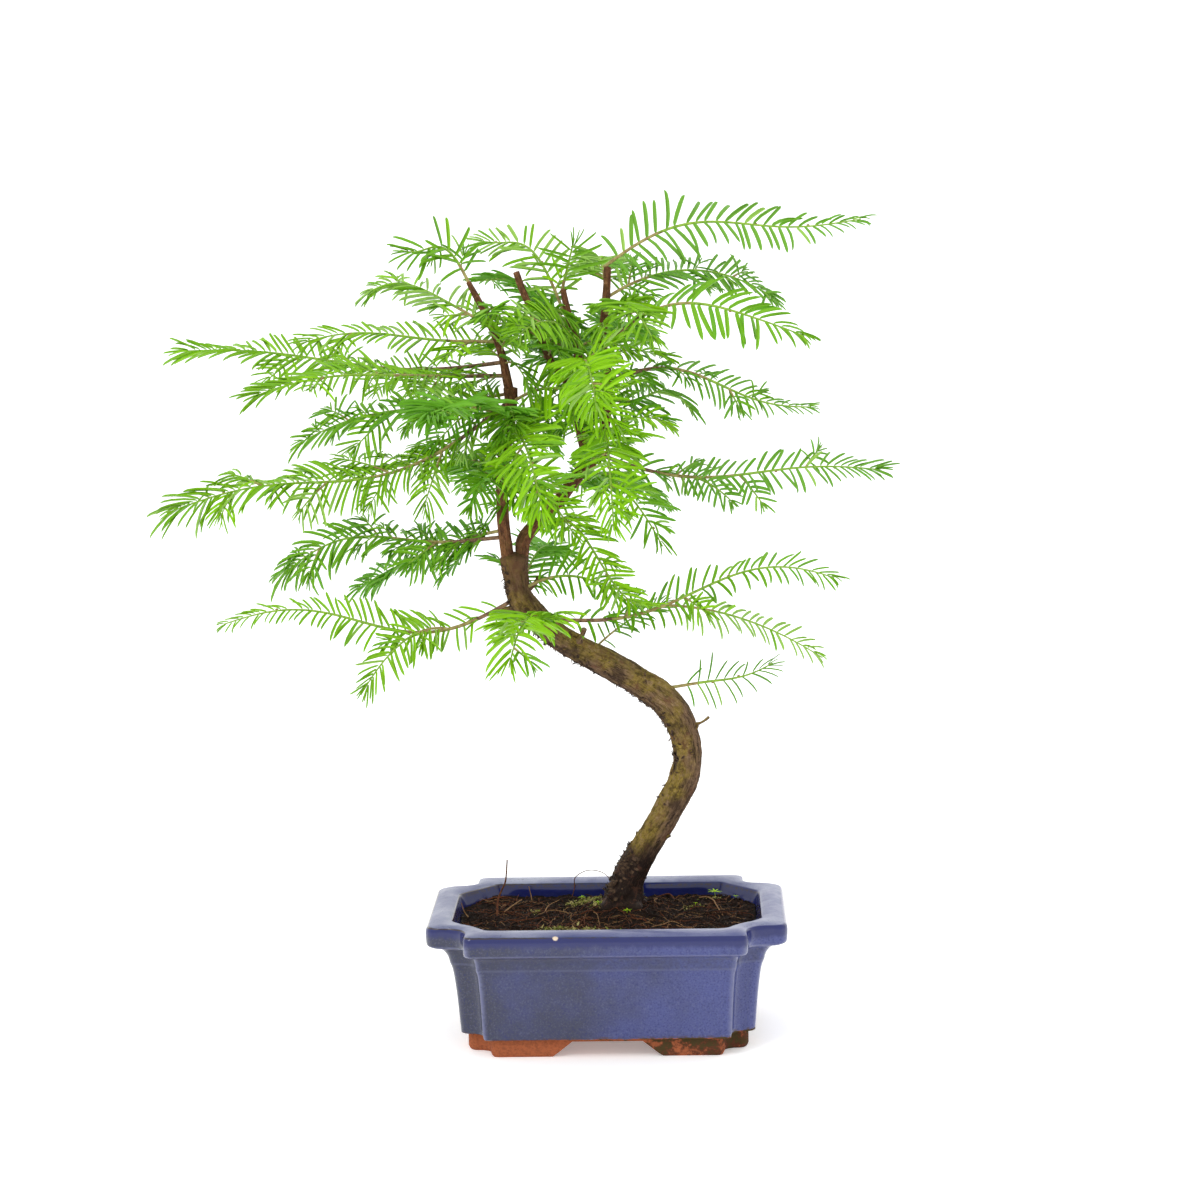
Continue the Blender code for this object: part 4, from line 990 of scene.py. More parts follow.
def bark_finish(name, dark, middle, light, tint_share):
    """Streaked and mottled bark. Its pattern follows the grain. What faces the light is tinted olive,
    partly algal growth and partly painted light, and is painted paler.
    """
    bark = Finish(name, specular_ior_level=0.12)
    stored = bark.attribute("grain", "Vector")
    along = bark.node("ShaderNodeMapping", {}, {"Vector": stored, "Scale": (1.0, 1.0, 0.16)})
    across = bark.node("ShaderNodeMapping", {}, {"Vector": stored, "Scale": (0.5, 0.5, 1.0)})
    streak = bark.noise(along, 0.75, 5.0, 0.7)
    fine = bark.noise(along, 2.6, 4.0, 0.75)
    band = bark.noise(across, 0.42, 3.0, 0.6)
    blotch = bark.noise(stored, 0.085, 4.0, 0.65)
    mottle = bark.noise(stored, 0.32, 5.0, 0.75)
    longer = bark.node("ShaderNodeMapping", {}, {"Vector": stored, "Scale": (1.0, 1.0, 0.5)})
    broad = bark.noise(longer, 0.11, 3.0, 0.6)
    flake = bark.node("ShaderNodeTexVoronoi", {}, {"Vector": along, "Scale": 0.55})
    tone = bark.mix(streak.ramp(0.36, 0.60), dark, middle)
    tone = bark.mix(fine.ramp(0.50, 0.66) * 0.6, tone, light)
    tone = bark.mix(band.ramp(0.58, 0.70) * 0.45, tone, dark)
    tone = bark.mix(flake.ramp(0.55, 0.9) * 0.4, tone, dark)
    lit = bark.attribute("lit")
    wet = bark.attribute("wet")
    # Partly painted light: the olive tint falls where the bark faces the light, and partly algal growth in
    # the blotches.
    green = (lit * 0.8 + blotch * 2.2).ramp(1.05, 1.75) * wet.ramp(0.55, 0.25) * tint_share
    tone = bark.mix(green * fine.ramp(0.25, 0.6), tone, ALGAE_AND_PAINTED_LIGHT)
    tone = bark.mix((mottle + blotch * 0.4).ramp(0.72, 0.82) * 0.6, tone, dark)
    tone = bark.mix(broad.ramp(0.53, 0.62) * streak.ramp(0.25, 0.6) * 0.7, tone, dark)
    tone = bark.mix(broad.ramp(0.46, 0.38) * mottle.ramp(0.4, 0.55) * 0.55, tone, RED_BARK)
    # Painted light: the pale tone is laid on more where the bark faces the light.
    tone = bark.mix((mottle - lit * 0.12).ramp(0.40, 0.28) * 0.5, tone, light)
    grown = bark.part(bark.place(), 2).ramp(196, 229) * tint_share
    tone = bark.mix(grown * streak.ramp(0.2, 0.55) * 0.75, tone, YOUNG_BARK)
    black = (wet * 1.25 + blotch * 0.9).ramp(0.64, 0.98)
    tone = bark.mix(black * (0.7 + fine.ramp(0.80, 0.45) * 0.27), tone, WET_BARK)
    tone = bark.mix(black * mottle.ramp(0.52, 0.64) * 0.4, tone, RED_BARK)
    bark.wear(base_color=tone, roughness=0.9 - black * 0.3 - fine * 0.12)
    rough = bark.bump(streak + mottle * 0.8, 1.0, 0.9)
    bark.wear(normal=bark.bump(fine + flake * 0.6 + band * 0.4, 0.55, 0.9, rough))
    return bark


# The olive of algal growth, which also stands in as painted light on the side that faces the light.
ALGAE_AND_PAINTED_LIGHT, WET_BARK = (0.300, 0.212, 0.038), (0.018, 0.010, 0.008)
RED_BARK, YOUNG_BARK = (0.165, 0.072, 0.042), (0.150, 0.070, 0.040)
BARK_DARK, BARK_BROWN, BARK_PALE = (0.028, 0.016, 0.011), (0.200, 0.122, 0.068), (0.370, 0.240, 0.145)
bark = bark_finish("bark", BARK_DARK, BARK_BROWN, BARK_PALE, 0.95)
cut_wood = Finish("cut_wood", roughness=0.8)
rings = cut_wood.mottled(((0.090, 0.050, 0.028), (0.330, 0.210, 0.120)), 2.2, 4.0, (0.3, 0.7), 0.7)
cut_wood.wear(normal=cut_wood.bump(rings, 0.3, 0.6))

bole = smooth_line(LIMBS["trunk"], 1.1)
foot = bole[0] - np.array([0.2, 0, TRUNK_BURIED, 0])
foot[3] += FOOT_SPREAD
crest = bole[-1] + np.array([0, 0, CREST_RISE, -CREST_DRAW])
skin = Skin()
skin.limb(np.vstack([foot, (foot + bole[0]) / 2, bole, crest]), *TRUNK_SKIN, flared=True)
stub_rule = random.Random(29)
stubs = [(height, math.radians(heading), length, radius) for height, heading, length, radius in STUBS]
for _ in range(NUBS):
    height, heading = stub_rule.uniform(*NUB_HEIGHTS), stub_rule.uniform(0, 2 * math.pi)
    stubs.append((height, heading, stub_rule.uniform(*NUB_LENGTHS), stub_rule.uniform(*NUB_RADII)))
for number, (height, heading, length, radius) in enumerate(stubs):
    centre, along, thick = limb_at("trunk", height)
    out = heading_way(heading, 0.3)
    out = (out - along * out.dot(along)).normalized()
    bend = along * stub_rule.uniform(-0.1, 0.35) + Vector((0, 0, 0.02 * length))
    rows = []
    for i in range(7):
        t = i / 6
        place = centre + (out + bend * t * t) * (thick - STUB_ROOT + (length + STUB_ROOT) * t)
        rows.append((*place, radius * (1.75 - 1.15 * min(1.0, t * 2.2) + 0.25 * t)))
    skin.limb(rows, *STUB_SKIN, cut=length > 3, seed=number * 7.0)
trunk = piece_of("trunk_bark", skin.mesh("trunk_bark"), [bark, cut_wood])
for index in skin.cut_faces:
    trunk.data.polygons[index].material_index = 1
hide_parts("trunk")

# Thin scales of old bark curl off the inside of the bends and the foot of the trunk.
SCALES, SCALE_HEADING, SCALE_HEIGHTS = 400, math.radians(190), ((60, 84), (108, 228), (150, 226))
flake_rule = random.Random(3)
stands = []
for _ in range(SCALES):
    height = flake_rule.choice([flake_rule.uniform(*heights) for heights in SCALE_HEIGHTS])
    centre, along, thick = limb_at("trunk", height)
    heading = flake_rule.gauss(SCALE_HEADING, 0.5)
    out = heading_way(heading, flake_rule.uniform(-0.9, 0.0))
    out = (out - along * out.dot(along)).normalized()
    lift = flake_rule.choice((flake_rule.uniform(0.05, 0.4), flake_rule.uniform(0.3, 0.9)))
    way = (along * flake_rule.choice((-1, 1)) + out * lift).normalized()
    side = out.cross(way).normalized()
    size = flake_rule.uniform(1.0, 2.6)
    sizes = (size, size * flake_rule.uniform(1.0, 2.4), size)
    place = tuple(centre + out * (thick + 0.1))
    stands.append(Stand(place, 0, turn_to(way, side, way.cross(side)), sizes))
scale = blade_shape("scale", [(0, 0.30), (0.35, 0.34), (0.8, 0.30), (1.0, 0.14)], -0.25, -0.35)
finish = Finish("bark_scale", roughness=0.9, specular_ior_level=0.25)
finish.mottled(((0.030, 0.017, 0.011), (0.105, 0.062, 0.036)), 0.7, 4.0, (0.35, 0.65))
scales = piece_of("bark_scales", scattered("bark_scales", stands, [scale], finish), [finish])

# The stems: two rise from the fork, and the left one goes on as the high left stem. The right one gives
# off the middle stem, and that one the stem that is cut back. Their bark is thin, redder and smoother
# than the trunk's.

# Where a stem's foot lies inside the limb that it leaves.
STEM_ROOTS = {
    "middle_stem": (-5.5, 10.0, 276.0),
    "cut_stem": (-9.6, 8.2, 306.5),
    "high_left_stem": (-41.5, -5.0, 306.0),
}
STEM_BURIED = 7.0  # how far the other two run down into the trunk
STEM_DARK, STEM_RED, STEM_PALE = (0.062, 0.022, 0.013), (0.265, 0.102, 0.050), (0.460, 0.230, 0.120)
stem_bark = bark_finish("stem_bark", STEM_DARK, STEM_RED, STEM_PALE, 0.2)
for number, name in enumerate([name for name in LIMBS if name != "trunk"]):
    line = smooth_line(LIMBS[name], 0.9)
    under = line[0].copy()
    if name in STEM_ROOTS:
        under[:3] = STEM_ROOTS[name]
    else:
        way = line[6, :3] - line[0, :3]
        under[:3] -= way / np.linalg.norm(way) * STEM_BURIED
    root = np.linspace(under, line[0], 9)[:-1]
    skin = Skin()
    skin.limb(np.vstack([root, line]), *STEM_SKIN, cut=name == "cut_stem", seed=30.0 * number + 400)
    stem = piece_of(f"{name}_bark", skin.mesh(name), [stem_bark, cut_wood])
    for index in skin.cut_faces:
        stem.data.polygons[index].material_index = 1
    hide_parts(name)

# The shoots of the year grow flat. Each is a thin stalk, brown where it leaves the wood and green
# towards its tip, with soft flat needles in two rows that hang a little, and side shoots by turns left
# and right, with finer ones between them.

# Each leaves a limb at a height, on a heading from +X, and is bare for the length of its bough.
Shoot = namedtuple("Shoot", "name limb height heading reach rise arch wave roll bough needle side forks")
SHOOTS = [
    Shoot("low_left", "trunk", 209, 193, 138, -5, -4, -8, -50, 14, 15, 0, [(0.22, 227, 56, -24, 10)]),
    Shoot("low_front", "trunk", 199, 262, 80, -12, 12, 0, 0, 0, 19, 26, []),
    Shoot("low_right", "trunk", 200, 353, 134, 19, 6, -7, 50, 20, 16, 22, [(0.36, 26, 84, -32, 6)]),
    Shoot("lowest_right", "trunk", 166, 10, 50, 11, -3, 1, 60, 0, 13, 0, []),
    Shoot("low_front_right", "trunk", 217, 346, 54, -12, 10, 0, 40, 0, 13, 0, []),
    Shoot("low_back", "trunk", 214, 80, 90, 4, 12, 0, 10, 0, 16, 28, []),
    Shoot("mid_left", "left_stem", 240, 168, 112, -23, 11, -5, -40, 20, 16, 28, []),
    Shoot("mid_left_back", "left_stem", 243, 146, 92, -36, 4, 0, -35, 0, 16, 30, []),
    Shoot("mid_back", "left_stem", 264, 104, 108, -14, 12, 0, 10, 0, 17, 30, []),
    Shoot("inner_low", "left_stem", 270, 306, 60, -26, 8, 0, 40, 0, 17, 20, []),
    Shoot("hanging_front", "left_stem", 290, 283, 88, -33, 14, 0, 30, 0, 18, 24, []),
    Shoot("front_left", "left_stem", 297, 250, 98, 8, 6, 0, 0, 14, 19, 26, []),
    Shoot("long_left", "left_stem", 302, 189, 164, -47, -9, -7, -35, 24, 18, 38, []),
    Shoot("inner_left", "left_stem", 308, 154, 118, -28, 5, -2, -40, 0, 17, 34, []),
    Shoot("inner_front", "left_stem", 306, 322, 66, -14, 12, 0, 50, 0, 19, 26, []),
    Shoot("bright_left", "high_left_stem", 317, 208, 128, -5, 6, -2, -25, 20, 17, 30, []),
    Shoot("upper_left", "high_left_stem", 323, 171, 160, 6, -2, -3, -25, 32, 17, 30, []),
    Shoot("high_left", "high_left_stem", 333, 184, 92, 0, 4, -2, -30, 0, 16, 22, []),
    Shoot("high_left_back", "high_left_stem", 341, 148, 72, 12, 10, -2, -25, 0, 16, 20, []),
    Shoot("top_left", "high_left_stem", None, 187, 34, 16, 8, 4, -40, 0, 18, 14, []),
    Shoot("top_left_back", "middle_stem", 349, 152, 48, 30, 14, 4, -30, 0, 17, 14, []),
    Shoot("top", "middle_stem", None, 300, 14, 26, 0, 0, 0, 0, 18, 0, []),
    Shoot("back", "middle_stem", 318, 102, 118, 4, 12, 0, 10, 0, 17, 32, []),
    Shoot("high_back", "middle_stem", 338, 122, 90, 20, 8, 0, 15, 0, 16, 24, []),
    Shoot("inner_high", "middle_stem", 334, 248, 66, 2, 8, 0, -40, 0, 17, 26, []),
    Shoot("front", "middle_stem", 316, 276, 108, -10, 14, 0, 20, 18, 19, 28, []),
    Shoot("long_right", "right_stem", 277, 3, 138, -10, -5, -4, 55, 26, 17, 24, [(0.27, 307, 44, -11, 4)]),
    Shoot("inner_right", "right_stem", 269, 314, 54, -33, 10, 0, 10, 0, 16, 16, []),
    Shoot("hanging_right", "right_stem", 246, 318, 70, -33, 2, 8, 20, 0, 15, 16, []),
    Shoot("mid_front_right", "right_stem", 287, 274, 98, -36, 16, 0, 15, 16, 18, 26, []),
    Shoot("low_back_right", "right_stem", 262, 64, 100, -22, 10, 0, 15, 0, 16, 28, []),
    Shoot("upper_right_back", "right_stem", 303, 40, 52, -12, 8, -4, 20, 0, 15, 14, []),
    Shoot("upper_right", "right_stem", 313, 10, 98, -16, 5, 5, 45, 18, 15, 16, []),
    Shoot("high_right", "right_stem", 331, 336, 106, 1, 17, 3, 50, 18, 19, 0, []),
    Shoot("back_right", "right_stem", 326, 80, 102, -4, 12, 0, 15, 0, 17, 28, []),
    Shoot("high_front_right", "right_stem", 345, 290, 68, -12, 10, 0, 5, 0, 18, 18, []),
    Shoot("top_right_back", "right_stem", 353, 28, 90, -6, 13, 0, 35, 0, 16, 22, []),
    Shoot("top_right", "right_stem", None, 4, 120, 19, 9, 5, 60, 0, 17, 0, []),
    Shoot("top_back", "right_stem", 356, 96, 78, 6, 10, 0, 10, 0, 16, 22, []),
]
NEXT_SEED = ("bright_left", "top_right_back")  # masses that grow from their second seed
# The clear gap round a solid's foot, the step along a line, and the sizes of the solids' own limbs.
GAP, PATH_STEP, BOUGH_RADIUS, SPINE_HALF, SPINE_FLATNESS = 0.3, 3.0, 1.7, 1.0, 0.8
# Side shoots: how far apart, from where to what share of the line, and the shortest that is drawn;
# then their angles, and the spans that their length, sag and pitch are drawn from.
SIDE_PITCH, SIDE_START, SIDE_END, SIDE_LEAST = 28.0, 10.0, 0.80, 14.0
SIDE_ANGLE, SIDE_TILT, SIDE_LEAN = (44, 58), 16, 25
SIDE_LENGTH, SIDE_SAG, SIDE_SPREAD = (0.8, 1.15), (0.08, 0.2), (0.85, 1.15)
FINE_PITCH, FINE_START, FINE_END, FINE_SHARE, FINE_CLEAR = 12.0, 7.0, 0.9, (0.38, 0.72), 6
NEEDLE_LEAN, NEEDLE_LEAST = (64, 14, 30), 0.72  # at the foot, lost along the shoot, and lost at its tip


class Axis:
    """A shoot's line, read by distance along it. The flat of its needles is square to its normal."""

    def __init__(self, places, normal):
        self.places = np.array([tuple(place) for place in places])
        steps = np.linalg.norm(np.diff(self.places, axis=0), axis=1)
        self.lengths = np.concatenate([[0.0], np.cumsum(steps)])
        self.length = float(self.lengths[-1])
        self.ways = np.gradient(self.places, self.lengths, axis=0)
        self.normal = normal

    def at(self, distance):
        """Place, direction, side and normal; the line runs on straight past its ends."""
        inside = min(max(distance, 0.0), self.length)
        place = Vector([np.interp(inside, self.lengths, self.places[:, k]) for k in range(3)])
        along = Vector([np.interp(inside, self.lengths, self.ways[:, k]) for k in range(3)])
        along.normalize()
        side = self.normal.cross(along).normalized()
        return place + along * (distance - inside), along, side, along.cross(side)


def shoot_axis(start, heading, reach, rise, arch, wave, roll):
    """The line of a shoot: it bends up by arch at its middle and by wave in an S."""
    ahead = heading_way(math.radians(heading))
    count = max(4, round(math.hypot(reach, rise) / PATH_STEP))
    places = []
    for i in range(count + 1):
        t = i / count
        lift = rise * t + arch * 4 * t * (1 - t) + wave * math.sin(2 * math.pi * t)
        places.append(start + ahead * reach * t + Vector((0, 0, lift)))
    along = (places[-1] - places[0]).normalized()
    normal = Matrix.Rotation(math.radians(roll), 3, along) @ Vector((0, 0, 1))
    if abs(along.z) > 0.85:
        normal = Matrix.Rotation(math.radians(roll), 3, along) @ ahead
    return Axis(places, normal)


def clear_start(shoot, ahead):
    """Where a shoot's flat foot comes clear of its limb, stepping out from the limb's middle."""
    limb = smooth_line(LIMBS[shoot.limb], 0.5)
    start = limb_at(shoot.limb, shoot.height)[0]
    own = BOUGH_RADIUS if shoot.bough else SPINE_HALF
    slope = shoot.rise + 4 * shoot.arch + 2 * math.pi * shoot.wave
    along = (ahead * shoot.reach + Vector((0, 0, slope))).normalized()
    side = along.cross(Vector((0, 0, 1))).normalized()
    over = side.cross(along)
    while True:
        start = start + ahead * 0.1
        rim = [start + step * own for step in (side, -side, over, -over)]
        away = np.linalg.norm(np.array([start, *rim])[:, None] - limb[:, :3], axis=2)
        if (away - limb[:, 3]).min() > GAP:
            return start


def tip_start(shoot, values):
    """Where a shoot's foot stands just clear of the flat end of its limb."""
    below, last = (Vector(row[:3]) for row in smooth_line(LIMBS[shoot.limb], PATH_STEP)[-2:])
    upward = (last - below).normalized()
    _, _, side, normal = shoot_axis(last, shoot.heading, *values).at(0)
    reach = abs(side.dot(upward)) + SPINE_FLATNESS * abs(normal.dot(upward))
    return last + upward * (GAP + reach * SPINE_HALF)


def main_axes(shoot):
    """A shoot's own line and those of its forks."""
    ahead = heading_way(math.radians(shoot.heading))
    values = (shoot.reach, shoot.rise, shoot.arch, shoot.wave, shoot.roll)
    start = tip_start(shoot, values) if shoot.height is None else clear_start(shoot, ahead)
    lines = [shoot_axis(start, shoot.heading, *values)]
    for share, heading, reach, rise, arch in shoot.forks:
        root = lines[0].at(share * lines[0].length)[0]
        lines.append(shoot_axis(root, heading, reach, rise, arch, 0, shoot.roll))
    return lines


def side_line(rule, line, distance, turn, length):
    """A side shoot that leaves a line at a distance, turned, tilted and sagging by the rule."""
    place, along, side, normal = line.at(distance)
    angle = math.radians(rule.uniform(*SIDE_ANGLE))
    tilt = math.radians(rule.uniform(-SIDE_TILT, SIDE_TILT))
    length = length * rule.uniform(*SIDE_LENGTH)
    flat = side * (turn * math.cos(tilt)) + normal * math.sin(tilt)
    out = along * math.cos(angle) + flat * math.sin(angle)
    sag = rule.uniform(*SIDE_SAG)
    steps = max(3, round(length / PATH_STEP))
    places = []
    for i in range(steps + 1):
        t = i / steps
        places.append(place + out * length * t - Vector((0, 0, sag * length * t * t)))
    lean = math.radians(rule.uniform(-SIDE_LEAN, SIDE_LEAN))
    return Axis(places, Matrix.Rotation(lean, 3, out) @ normal)


def side_lines(shoot, seed, line):
    """The side shoots that the solids carry, each with its distance and side."""
    found = []
    distance, turn = shoot.bough + SIDE_START, 1
    rule = random.Random(seed)
    while shoot.side and distance < line.length * SIDE_END:
        length = shoot.side * (1 - 0.5 * distance / line.length)
        found.append((side_line(rule, line, distance, turn, length), distance, turn))
        distance += SIDE_PITCH * rule.uniform(*SIDE_SPREAD)
        turn = -turn
    return found


def fine_lines(shoot, seed, line, taken):
    """Finer side shoots between those, shorter, and on both sides."""
    found = []
    rule = random.Random(seed + 500)
    distance, turn = FINE_START, -1
    while shoot.side and distance < line.length * FINE_END:
        length = shoot.side * (1 - 0.45 * distance / line.length) * rule.uniform(*FINE_SHARE)
        free = all(abs(distance - other) > FINE_CLEAR or turn != side for _, other, side in taken)
        if free and length > FINE_CLEAR:
            found.append((side_line(rule, line, distance, turn, length), distance, turn))
        distance += FINE_PITCH * rule.uniform(0.8, 1.2)
        turn = -turn
    return found


# Each tint of needle: its colour, the tints that stray in among it, and the masses it stands for.
Tint = namedtuple("Tint", "colour strays masses")
TINTS = {
    "lime": Tint(
        (0.285, 0.600, 0.004),
        ("bright", "leaf", "soft"),
        ("front", "inner_front", "hanging_front", "low_front", "mid_front_right", "inner_low",
         "hanging_right"),
    ),
    "bright": Tint(
        (0.230, 0.500, 0.012),
        ("lime", "leaf", "soft"),
        ("low_left", "long_left", "upper_left", "bright_left", "high_left", "inner_high",
         "high_front_right"),
    ),
    "leaf": Tint(
        (0.185, 0.450, 0.012),
        ("bright", "cool", "deep"),
        ("low_right", "low_front_right", "mid_left", "inner_left", "inner_right", "top_left", "top",
         "high_right"),
    ),
    "cool": Tint(
        (0.165, 0.405, 0.034),
        ("leaf", "deep", "soft"),
        ("top_right", "upper_right", "long_right", "lowest_right", "top_right_back", "upper_right_back",
         "back_right"),
    ),
    "deep": Tint(
        (0.145, 0.410, 0.014),
        ("cool", "leaf", "deep"),
        ("front_left", "mid_left_back", "mid_back", "low_back", "back", "high_back", "low_back_right"),
    ),
    "soft": Tint(
        (0.320, 0.560, 0.095),
        ("bright", "leaf", "lime"),
        ("high_left_back", "top_left_back", "top_back"),
    ),
}
# Where a shoot differs: how much shorter its needles get towards the tip, their size, width and
# pitch, how far its tip stops short, whether finer side shoots stand between its own, and its fork's
# tint.
Style = namedtuple("Style", "taper size width pitch short fine fork")
USUAL = Style(0.33, 1.1, 1.0, 3.7, 0, True, None)
STYLES = {
    "top_right": dict(taper=0.62, width=1.2, pitch=4.5, short=-3.0),
    "high_right": dict(taper=0.42, size=1.0, width=1.25, pitch=4.4, short=4),
    "upper_right": dict(taper=0.45, size=0.9, pitch=3.9),
    "long_right": dict(taper=0.10, size=0.74, width=1.05, short=3, fine=False),
    "low_right": dict(taper=0.35, size=0.85, width=1.05, pitch=4.2, short=2, fine=False, fork="soft"),
    "lowest_right": dict(taper=0.2, size=1.0, width=0.65, pitch=4.3),
    "long_left": dict(taper=0.05, size=1.05, width=0.84, pitch=2.8, short=4),
    "upper_left": dict(taper=0.1, size=1.0, width=0.85, pitch=3.3, short=1, fine=False),
    "bright_left": dict(taper=0.15, size=1.0, width=0.8, pitch=3.2, short=1),
    "high_left": dict(taper=0.2, size=1.0, width=0.9, pitch=3.5, fine=False),
    "mid_left": dict(taper=0.15, size=1.2, width=1.05, pitch=3.4, short=2.0),
    "low_left": dict(taper=0.6, size=1.05, width=0.95, pitch=3.3),
    "front": dict(taper=0.15, width=1.1),
    "hanging_front": dict(taper=0.15, width=1.1),
    "low_front": dict(taper=0.15, width=1.1, pitch=3.9, short=3.0),
    "front_left": dict(taper=0.1, size=1.25, width=1.2, pitch=3.4),
    "mid_left_back": dict(taper=0.2, width=1.1, pitch=3.5),
}
# How much the needles of a mass curl down, from 0 to 1, where it isn't the usual third.
CURL = {
    "lowest_right": 0.9, "upper_right": 0.5, "long_right": 0.4, "low_right": 0.6, "long_left": 0.9,
    "mid_left": 0.7, "low_left": 0.5, "top_right": 0.6, "high_right": 0.7, "low_front": 0.6,
}
NEEDLE_OUTLINE = [
    (0.0, 0.20), (0.08, 0.42), (0.35, 0.5), (0.7, 0.5), (0.9, 0.42), (0.97, 0.26), (1.0, 0.08),
]
# Each shape of needle: how far it bends down, and how far it sweeps sideways.
NEEDLE_BENDS = [
    (0.04, 0.0), (0.18, 0.0), (0.34, 0.0), (0.08, 1.3), (0.08, -1.3), (0.12, 2.6), (0.12, -2.6),
]
NEEDLE_WIDTH, TIP_CLEAR, STRAY_SHARE, GAP_SHARE = 1.7, 0.5, 0.18, 0.05
SWEPT = 0.4  # a needle that leans over more than this takes a shape with a sweep
TIP_NEEDLES = ((1, 16), (-1, 19), (1, 6), (-1, 9))  # side and lean in degrees
TURN_REACH, TURN_LENGTH = 16.0, 60.0  # how far a spray turns about its stalk, and over what length
stands = {tint: [] for tint in TINTS}
stalks = {"green": [], "tan": [], "brown": []}
buds = []


def dressed(line, first, last, size, tint, curl, style, rule, off):
    """Needles in two rows along a line between two distances, and the few at its tip."""
    distance, phase = first + rule.uniform(0, 1), rule.uniform(0, 2 * math.pi)
    tip_size = size * (1 - style.taper)
    last = max(first + 4.0, last - TIP_CLEAR * tip_size)
    while distance < last:
        share = (distance - first) / (last - first)
        late = max(0.0, share - 0.66) / 0.34
        lean = NEEDLE_LEAN[0] - NEEDLE_LEAN[1] * share - NEEDLE_LEAN[2] * late
        swell = min(1.0, NEEDLE_LEAST + share * 1.4)
        swell *= 1 - style.taper * max(0.0, share - 0.25) / 0.75
        roll = math.radians(TURN_REACH) * math.sin(phase + distance / TURN_LENGTH * 2 * math.pi)
        for turn in (1, -1):
            length = size * swell * rule.uniform(0.82, 1.1)
            at = distance + turn * 0.5 + rule.uniform(-0.6, 0.6)
            angle = math.radians(lean + rule.gauss(0, 5.5))
            width = style.width * (1 - 0.4 * late)
            if rule.random() > GAP_SHARE:
                needle(line.at(at), turn, angle, roll, length, width, off, tint, curl, rule)
        distance += style.pitch * rule.uniform(0.80, 1.20) * (1 - 0.3 * late)
    for turn, lean in TIP_NEEDLES:
        length = tip_size * rule.uniform(0.55, 0.8)
        width, lean = style.width * 0.55, math.radians(lean)
        needle(line.at(last), turn, lean, 0.0, length, width, off, tint, curl, rule)


def needle(stand, turn, lean, roll, length, width, off, tint, curl, rule):
    """One needle on one side of a stalk, leaning along it and drooping, and a little out of line."""
    place, along, side, normal = stand
    spun = Matrix.Rotation(roll, 3, along)
    side, normal = spun @ side, spun @ normal
    out = side * turn
    way = along * math.cos(lean) + out * math.sin(lean)
    way = way - Vector((0, 0, (0.02 + 0.16 * curl) * math.sin(lean))) + normal * 0.12
    way = (way + Vector([rule.gauss(0, 0.05) for _ in range(3)])).normalized()
    across = normal.cross(way).normalized()
    over = way.cross(across)
    twist = Matrix.Rotation(rule.gauss(0, 0.25) + turn * 0.15, 3, way)
    kind = min(2, int(curl * 2.2 + rule.random() * 1.1))
    if kind and abs(across.z) > SWEPT:
        kind = 2 * kind + (1 if across.z < 0 else 2)
    if rule.random() < STRAY_SHARE:
        tint = rule.choice(TINTS[tint].strays)
    wide = NEEDLE_WIDTH * width * rule.uniform(0.85, 1.1) * min(1.0, 0.55 + length / 36)
    turned = turn_to(way, twist @ across, twist @ over)
    stands[tint].append(Stand(tuple(place + out * off), kind, turned, (length, wide, length)))


ALL_GREEN = [(1.0, "green")]


def tan_to(share):
    """A stalk's tones, where it is tan up to a share of its length and green from there on."""
    return [(share, "tan"), *ALL_GREEN]


def stalk(line, first, last, thick, thin, tones):
    """A stalk along a line, cut where its tone changes: (share of the length, tone) pairs."""
    count = max(4, round((last - first) / 2.2))
    before = 0.0
    for until, tone in tones:
        rows = []
        for i in range(count + 1):
            t = i / count
            if before - 0.5 / count <= t <= until + 0.5 / count:
                rows.append((*line.at(first + (last - first) * t)[0], thick + (thin - thick) * t))
        if len(rows) > 1:
            stalks[tone].append(rows)
        before = until


# Each kind of twig: its radius at foot and tip, its tones, where its needles start, their share of
# the shoot's size, and how far off its middle they stand.
Twig = namedtuple("Twig", "thick thin tones first share off")
FORK = Twig(0.7, 0.3, tan_to(0.3), 5.0, 0.95, 0.45)
FORK_FINE = Twig(0.45, 0.22, ALL_GREEN, 3.0, 0.7, 0.35)
SIDE = Twig(0.6, 0.25, tan_to(0.3), 4.0, 0.76, 0.4)
FINE = Twig(0.42, 0.2, ALL_GREEN, 2.5, 0.68, 0.3)
LATE = Twig(0.55, 0.24, tan_to(0.35), 5.0, 1.0, 0.35)
TRUNK_TWIG = Twig(0.6, 0.25, tan_to(0.4), 10.0, 1.0, 0.35)


def grown(line, kind, size, tint, curl, style, rule):
    """A twig along a whole line: its stalk, and its needles out to the tip."""
    stalk(line, 0.0, line.length, kind.thick, kind.thin, kind.tones)
    size = size * kind.share * style.size
    dressed(line, kind.first, line.length, size, tint, curl, style, rule, kind.off)


